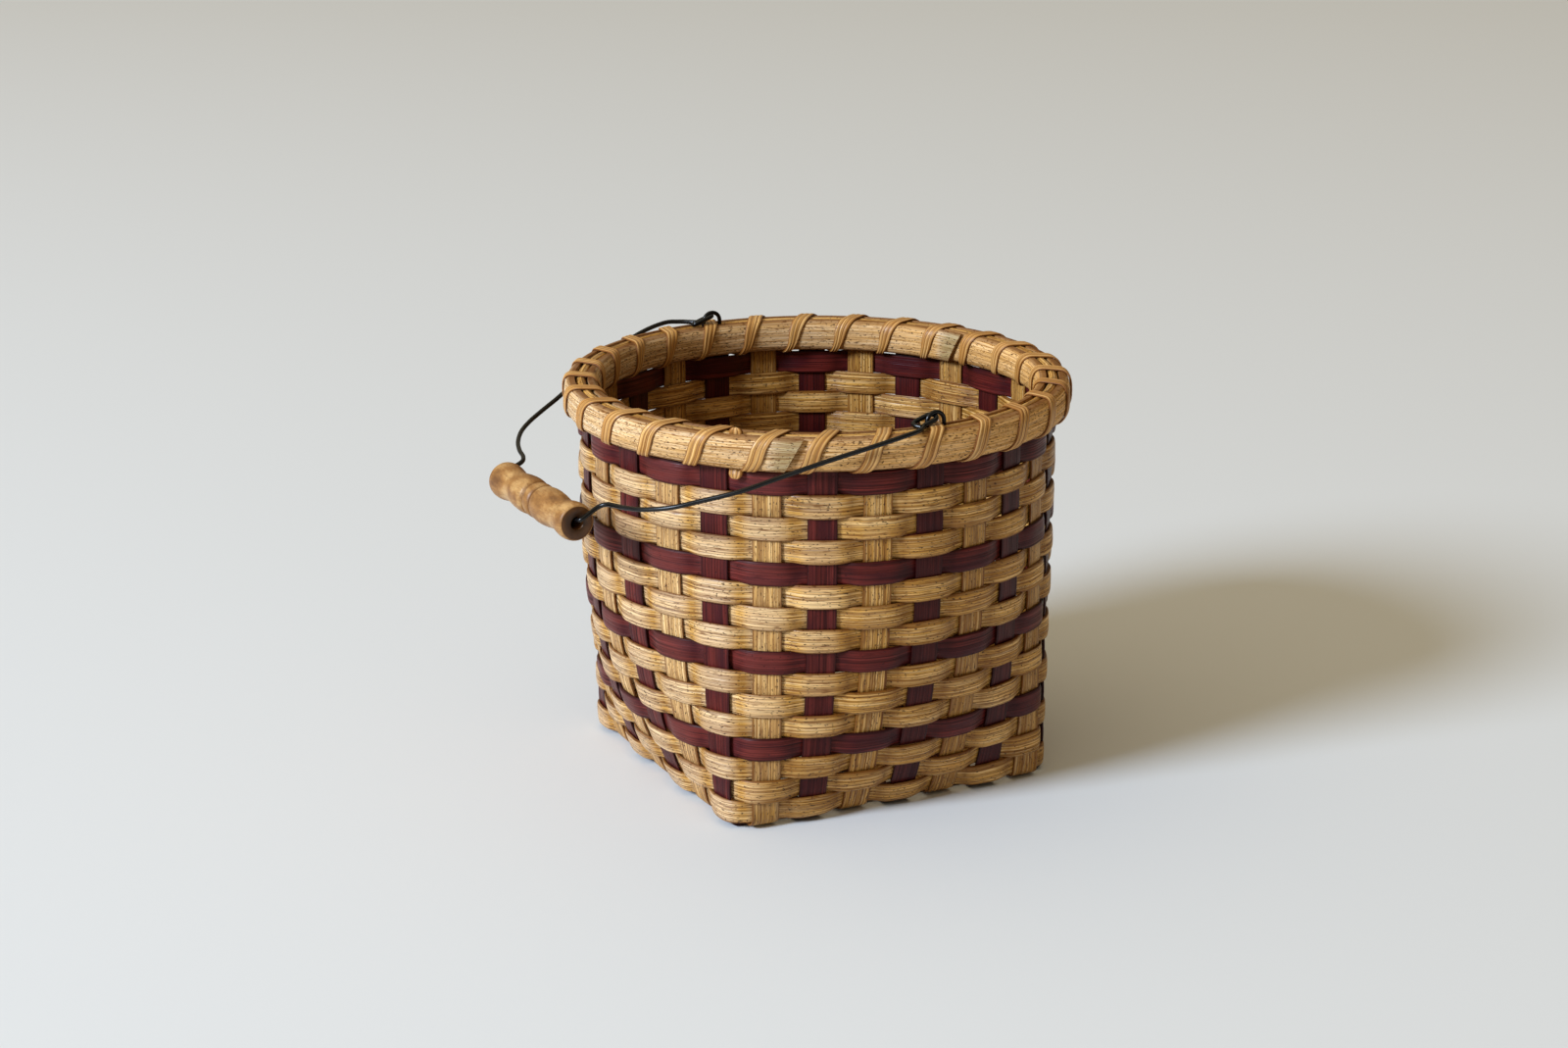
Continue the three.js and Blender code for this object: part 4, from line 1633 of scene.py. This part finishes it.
@dataclass
class Bail:
    """The wire bail with its eyes, bent by hand, and the wooden grip that turns on it.

    An arm is given from the eye to the shoulder beside the grip: distance from the pivot axis, distance
    from the basket's middle, and height over the bail's plane. It rides over the rim's outer edge before
    it droops.

    Attributes:
        sweeper: the tree that makes the wire.
        wire: the wire's finish.
        wood: the grip's finish.
        end_grain: the finish of its two ends.
        pivots: the axis that the bail turns on.
        rest: how far below level it lies, in radians.
        wire_radius: radius of the wire.
        eye_half: half the width of an eye.
        eye_length: how far an eye reaches from the axis.
        eye_twist: how much higher its inner side stands than its outer side.
        eye_points: points of its round.
        hook_tip: how far past the eye its hooked end comes back.
        hook_reach: how far past the eye the hook's handle lies.
        hook_points: points of the hook.
        knot_steps: steps between two knots of an arm.
        wire_at_grip: from the pivot axis to the wire inside the grip.
        grip_length: length of the grip.
        grip_bore: radius of its bore.
        bore_points: points along half the bore.
        mouth_break: how far the bore's edge is broken, along the grip and outwards.
        end_radius: radius of the flat end's outer edge.
        end_margin: how far in from an end its dark end grain starts.
        outline_steps: steps between two points of the turned outline.
        grip_hang: how far the grip hangs below its wire, on the wall of the bore.
        grip_shift: how far it stands towards the rear.
        groove_place: from the grip's middle to each of its two grooves.
        groove_width: how wide the stain in a groove spreads.
        groove_stain: how much of it settled there, from 0 to 1.
        segments: how many points go round the grip.
        number: the number of the wire.
        over_rim: the knots that both arms share.
        front_arm: the front arm's other knots.
        rear_arm: the rear arm's other knots.
        turned_outline: the grip's outline, as distance from its middle and radius.
        section: the wire's cross-section.
    """

    sweeper: SweepTree
    wire: bpy.types.Material
    wood: bpy.types.Material
    end_grain: bpy.types.Material
    pivots: Pivots = field(default_factory=Pivots)
    rest: float = math.radians(18.16)
    wire_radius: float = 1.05
    eye_half: float = 2.4
    eye_length: float = 7.2
    eye_twist: float = 1.25
    eye_points: int = 25
    hook_tip: float = 1.7
    hook_reach: float = 5.2
    hook_points: int = 9
    knot_steps: int = 8
    wire_at_grip: float = 142.13
    grip_length: float = 77.0
    grip_bore: float = 2.9
    bore_points: int = 8
    mouth_break: Span = (0.2, 0.25)
    end_radius: float = 6.3
    end_margin: float = 0.35
    outline_steps: int = 5
    grip_hang: float = 1.35
    grip_shift: float = 4.4
    groove_place: float = 3.5
    groove_width: float = 0.9
    groove_stain: float = 0.9
    segments: int = 72
    number: int = 310
    over_rim: Knots = ((9.6, 108.9, 0.6), (13.5, 112.2, 1.8), (20.0, 114.4, 3.6))
    front_arm: Knots = (
        (33.0, 112.8, 4.9),
        (55.0, 104.6, 5.2),
        (75.0, 95.5, 4.2),
        (88.5, 89.8, 3.7),
        (102.0, 80.5, 3.3),
        (113.5, 72.0, 3.1),
        (121.5, 61.5, 3.0),
        (125.6, 52.0, 3.0),
        (127.6, 43.5, 2.8),
        (129.0, 38.8, 2.6),
        (132.0, 36.4, 2.2),
        (137.0, 36.2, 1.2),
        (140.8, 35.9, 0.3),
    )
    rear_arm: Knots = (
        (33.0, 113.6, 4.6),
        (55.0, 108.0, 4.6),
        (72.0, 100.5, 3.6),
        (89.0, 91.0, 3.0),
        (100.8, 85.2, 2.9),
        (110.6, 80.0, 2.8),
        (118.0, 74.0, 2.6),
        (123.6, 66.0, 2.1),
        (126.8, 58.0, 1.5),
        (128.4, 51.0, 1.0),
        (131.0, 47.0, 0.7),
        (136.0, 46.6, 0.3),
        (140.6, 46.0, 0.0),
    )
    turned_outline: tuple[Span, ...] = (
        (38.4, 6.6),
        (38.1, 7.5),
        (37.0, 8.1),
        (34.0, 8.4),
        (30.5, 8.05),
        (27.0, 7.4),
        (23.5, 7.15),
        (19.5, 7.55),
        (15.0, 8.1),
        (10.5, 8.35),
        (7.0, 8.15),
        (5.2, 7.8),
        (4.3, 7.0),
        (3.5, 6.4),
        (2.8, 7.2),
        (1.7, 7.8),
        (0.0, 8.0),
    )
    section: Section = Section.rod(16)

    def build(self) -> None:
        """Makes the wire and the grip."""
        front, rear = self._half(self.front_arm, -1), self._half(self.rear_arm, 1)
        points = self.pivots.turned(self._lowered(np.vstack([front, rear[::-1]])))
        flat = self.pivots.turned(np.array([-math.sin(self.rest), 0.0, math.cos(self.rest)]))
        guide = Guide.wire(points, flat, self.wire_radius)
        self.sweeper.lay(
            "bail_wire", "steel", guide, self.section, self.wire, self.number, "black_wire", body="bail"
        )
        self._grip()

    def _lowered(self, points: np.ndarray) -> np.ndarray:
        """Moves points from the bail's own plane to where it rests, in the pivots' frame.

        Args:
            points: one point, or one to a row.

        Returns:
            The moved points.
        """
        x, z = turned_pair(points[..., 0], points[..., 2], self.rest)
        return np.stack([x, points[..., 1], self.pivots.height + z], -1)

    def _half(self, arm: Knots, side: int) -> np.ndarray:
        """Half of the bail in its own plane, from the hooked end of its eye to the mouth of the grip's bore.

        Args:
            arm: the knots of its arm.
            side: -1 in front, 1 behind.

        Returns:
            Its points.
        """
        far = self.pivots.reach + self.eye_half
        near = self.pivots.reach - self.eye_half
        tip = np.array([self.eye_length + self.hook_tip, far])
        handle = np.array([self.eye_length + self.hook_reach, near])
        t = np.linspace(0, 1, self.hook_points)[:, None]
        hook = (1 - t) ** 2 * tip + 2 * t * (1 - t) * handle + t**2 * np.array([self.eye_length, near])
        turn = np.linspace(-math.pi / 2, -3 * math.pi / 2, self.eye_points)
        loop = self.eye_half * np.stack([1 + np.cos(turn), np.sin(turn)], 1) + [0, self.pivots.reach]
        eye = np.vstack([hook, loop])
        rise = self.eye_twist * (far - eye[:, 1]) / (far - near)
        mouth = (self.wire_at_grip, self.grip_length / 2 + side * self.grip_shift, 0.0)
        knots = np.array([(self.eye_length, far, 0.0), *self.over_rim, *arm, mouth])
        whole = np.vstack([np.column_stack([eye, rise]), spline_through(knots, self.knot_steps)])
        return whole * [-1, side, 1]

    def _loop(self) -> np.ndarray:
        """The grip's outline all the way round: the bore, the right end, the turned side and the left end.

        Returns:
            For each point its distance from the grip's middle, and its radius.
        """
        half = self.grip_length / 2
        inwards, outwards = self.mouth_break
        outside = spline_through(np.array(self.turned_outline), self.outline_steps)
        along = np.linspace(0, half - inwards, self.bore_points)
        bore = np.stack([along, np.full_like(along, self.grip_bore)], 1)
        face = [(half, self.grip_bore + outwards), (half, self.end_radius)]
        right = np.vstack([bore, face, outside])
        left = (right * [-1, 1])[::-1]
        return np.vstack([right, left[1:-1]])

    def _stain(self, y: float, radius: float) -> float:
        """How much stain settled at a place of the grip: in its two grooves, and all over the bore.

        Args:
            y: distance from the grip's middle.
            radius: distance from its axis.

        Returns:
            The stain there, from 0 to 1.
        """
        if radius < self.end_radius:
            return 1.0
        aside = (abs(y) - self.groove_place) / self.groove_width
        return self.groove_stain * math.exp(-(aside**2))

    def _grip(self) -> None:
        """Turns the grip: a wooden tube with a bead between two grooves and a flare at each end."""
        loop = self._loop()
        centre = self._lowered(np.array([-self.wire_at_grip, self.grip_shift, 0.0])) - self.grip_hang * UP
        turn = np.linspace(0, 2 * math.pi, self.segments, endpoint=False)
        mesh = bmesh.new()
        groove = mesh.verts.layers.float.new("groove")
        rings = []
        for y, radius in loop:
            level = np.full_like(turn, y)
            ring = centre + np.stack([radius * np.cos(turn), level, radius * np.sin(turn)], 1)
            verts = [mesh.verts.new(place) for place in self.pivots.turned(ring) * MM]
            for vert in verts:
                vert[groove] = self._stain(y, radius)
            rings.append(verts)
        for i, ring in enumerate(rings):
            beyond = (i + 1) % len(rings)
            nearest = min(abs(loop[i][0]), abs(loop[beyond][0]))
            at_end = nearest > self.grip_length / 2 - self.end_margin
            for k, vert in enumerate(ring):
                beside = (k + 1) % self.segments
                face = mesh.faces.new((vert, ring[beside], rings[beyond][beside], rings[beyond][k]))
                face.smooth = True
                face.material_index = 1 if at_end else 0
        bmesh.ops.recalc_face_normals(mesh, faces=mesh.faces)
        made = bpy.data.meshes.new("wooden_grip_turned")
        mesh.to_mesh(made)
        mesh.free()
        made.materials.append(self.wood)
        made.materials.append(self.end_grain)
        seat(linked("wooden_grip_turned", made), "grip", "wooden_grip")


@dataclass
class Studio:
    """The floor, the lights and the camera.

    Attributes:
        azimuth: where the camera stands, in degrees, 0 looking along +Y.
        elevation: how high it stands.
        distance: from the middle of the basket.
        aim_height: height of the basket's middle.
        yaw: how far it is turned from there, which sets the basket right of the picture's middle.
        pitch: the same, upwards.
        focal: focal length in pixels of a picture 1600 wide.
        picture_width: that picture's width.
        sensor: the sensor's width.
        key_colour: cool daylight from a window on the left.
        key_level: brightness that it gives a white surface that faces it.
        key_distance: how far off the lamp hangs, in metres.
        key_size: its diameter, in metres, which makes its shadows as soft as the window's.
        key_azimuth: where it hangs, in degrees from +X.
        key_elevation: how high.
        sky_colour: warm light from the room.
        sky_level: its brightness, as a level surface sees it.
        horizon: how bright it is at the horizon beside that.
        bright_side: the side where the room is brightest, in degrees from +X.
        side_share: how much brighter it is there, and darker on the other side.
        floor_colour: pale matt paper.
        floor_half: half the floor's side, in metres.
    """

    azimuth: float = -27.02
    elevation: float = 17.95
    distance: float = 1470.3
    aim_height: float = 85.0
    yaw: float = -0.586
    pitch: float = 0.866
    focal: float = 3276.0
    picture_width: float = 1600.0
    sensor: float = 36.0
    key_colour: tuple[float, float, float] = (0.67, 0.8, 1.0)
    key_level: float = 1.42
    key_distance: float = 6.0
    key_size: float = 1.8
    key_azimuth: float = 187.8
    key_elevation: float = 29.7
    sky_colour: tuple[float, float, float] = (1.0, 0.864, 0.613)
    sky_level: float = 0.49
    horizon: float = 0.2
    bright_side: float = 150.0
    side_share: float = 0.7
    floor_colour: str = "#E0E0DE"
    floor_half: float = 9.0

    def build(self) -> None:
        """Makes the camera, the lights and the floor."""
        self._camera()
        self._lights()
        self._floor()

    def _camera(self) -> None:
        """Stands the camera where the photograph was taken from."""
        a = math.radians(self.azimuth)
        back = Vector(way_to(a - math.pi / 2, math.radians(self.elevation)))
        right = Vector(way_to(a))
        up = back.cross(right)
        yaw, pitch = math.radians(self.yaw), math.radians(self.pitch)
        ahead = -back
        turned_right = right * math.cos(yaw) - ahead * math.sin(yaw)
        turned_ahead = right * math.sin(yaw) + ahead * math.cos(yaw)
        turned_up = up * math.cos(pitch) - turned_ahead * math.sin(pitch)
        final_ahead = up * math.sin(pitch) + turned_ahead * math.cos(pitch)
        data = bpy.data.cameras.new("camera")
        data.sensor_width = self.sensor
        data.lens = self.focal * self.sensor / self.picture_width
        data.clip_start = 0.01
        camera = linked("camera", data)
        rotation = Matrix((turned_right, turned_up, -final_ahead)).transposed().to_4x4()
        place = Vector((0, 0, self.aim_height * MM)) + back * self.distance * MM
        camera.matrix_world = Matrix.Translation(place) @ rotation
        bpy.context.scene.camera = camera

    def _lights(self) -> None:
        """Hangs one large soft lamp on the left, in a dim warm room that is brighter on one side."""
        way = Vector(way_to(math.radians(self.key_azimuth), math.radians(self.key_elevation)))
        data = bpy.data.lights.new("window_light", "AREA")
        data.shape = "DISK"
        data.size = self.key_size
        # The power that gives a white surface at that distance the brightness that key_level says
        data.energy = self.key_level * math.pi**2 * self.key_distance**2
        data.color = self.key_colour
        lamp = linked("window_light", data)
        lamp.location = way * self.key_distance
        lamp.rotation_euler = way.to_track_quat("Z", "Y").to_euler()
        world = bpy.data.worlds.new("warm_room")
        world.use_nodes = True
        world.node_tree.nodes.clear()
        put = partial(add, world.node_tree)
        direction = put("ShaderNodeTexCoord").outputs["Generated"]
        height = put("ShaderNodeSeparateXYZ", [direction]).outputs["Z"]
        # A level surface sees the sky at a mean height of two thirds, and there it has its plain brightness.
        zenith = self.horizon + (1 - self.horizon) * 3 / 2
        level = put(RANGE, {"Value": height, "To Min": self.horizon, "To Max": zenith})
        lean = way_to(math.radians(self.bright_side)) * self.side_share
        beside = put(VECTOR, [direction, tuple(lean)], operation="DOT_PRODUCT")
        sideways = put(MATH, [beside, self.sky_level, self.sky_level], operation="MULTIPLY_ADD")
        strength = put(MATH, [level, sideways], operation="MULTIPLY")
        put("ShaderNodeOutputWorld", [put("ShaderNodeBackground", [(*self.sky_colour, 1.0), strength])])
        bpy.context.scene.world = world

    def _floor(self) -> None:
        """Lays a wide matt floor."""
        half = self.floor_half
        mesh = bpy.data.meshes.new("floor")
        corners = [(-half, -half, 0), (half, -half, 0), (half, half, 0), (-half, half, 0)]
        mesh.from_pydata(corners, [], [(0, 1, 2, 3)])
        floor = linked("floor", mesh)
        material, put = new_material("matt_paper")
        shader = put(
            PRINCIPLED,
            {"Base Color": linear(self.floor_colour), "Roughness": 0.9, "Specular IOR Level": 0.1},
        )
        put(OUTPUT, [shader])
        mesh.materials.append(material)


def main() -> None:
    """Builds the studio and the basket in order."""
    logging.basicConfig(level=logging.INFO, format="%(name)s: %(message)s")
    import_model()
    bpy.context.scene.view_settings.view_transform = "Standard"
    Studio().build()
    sweeper = SweepTree()
    finishes = {reed: reed.value.build() for reed in Reed}
    Weave(sweeper, finishes).build()
    Rim(sweeper, finishes).build()
    wire = WireFinish().build()
    Ears(sweeper, wire).build()
    # Sealed end grain drinks more stain, so the ends are dark brown.
    end_grain = GripFinish("stained_end_grain", pale="#6C4421", body="#583516", stain="#3A220D").build()
    Bail(sweeper, wire, GripFinish().build(), end_grain).build()


if __name__ == "__main__":
    main()
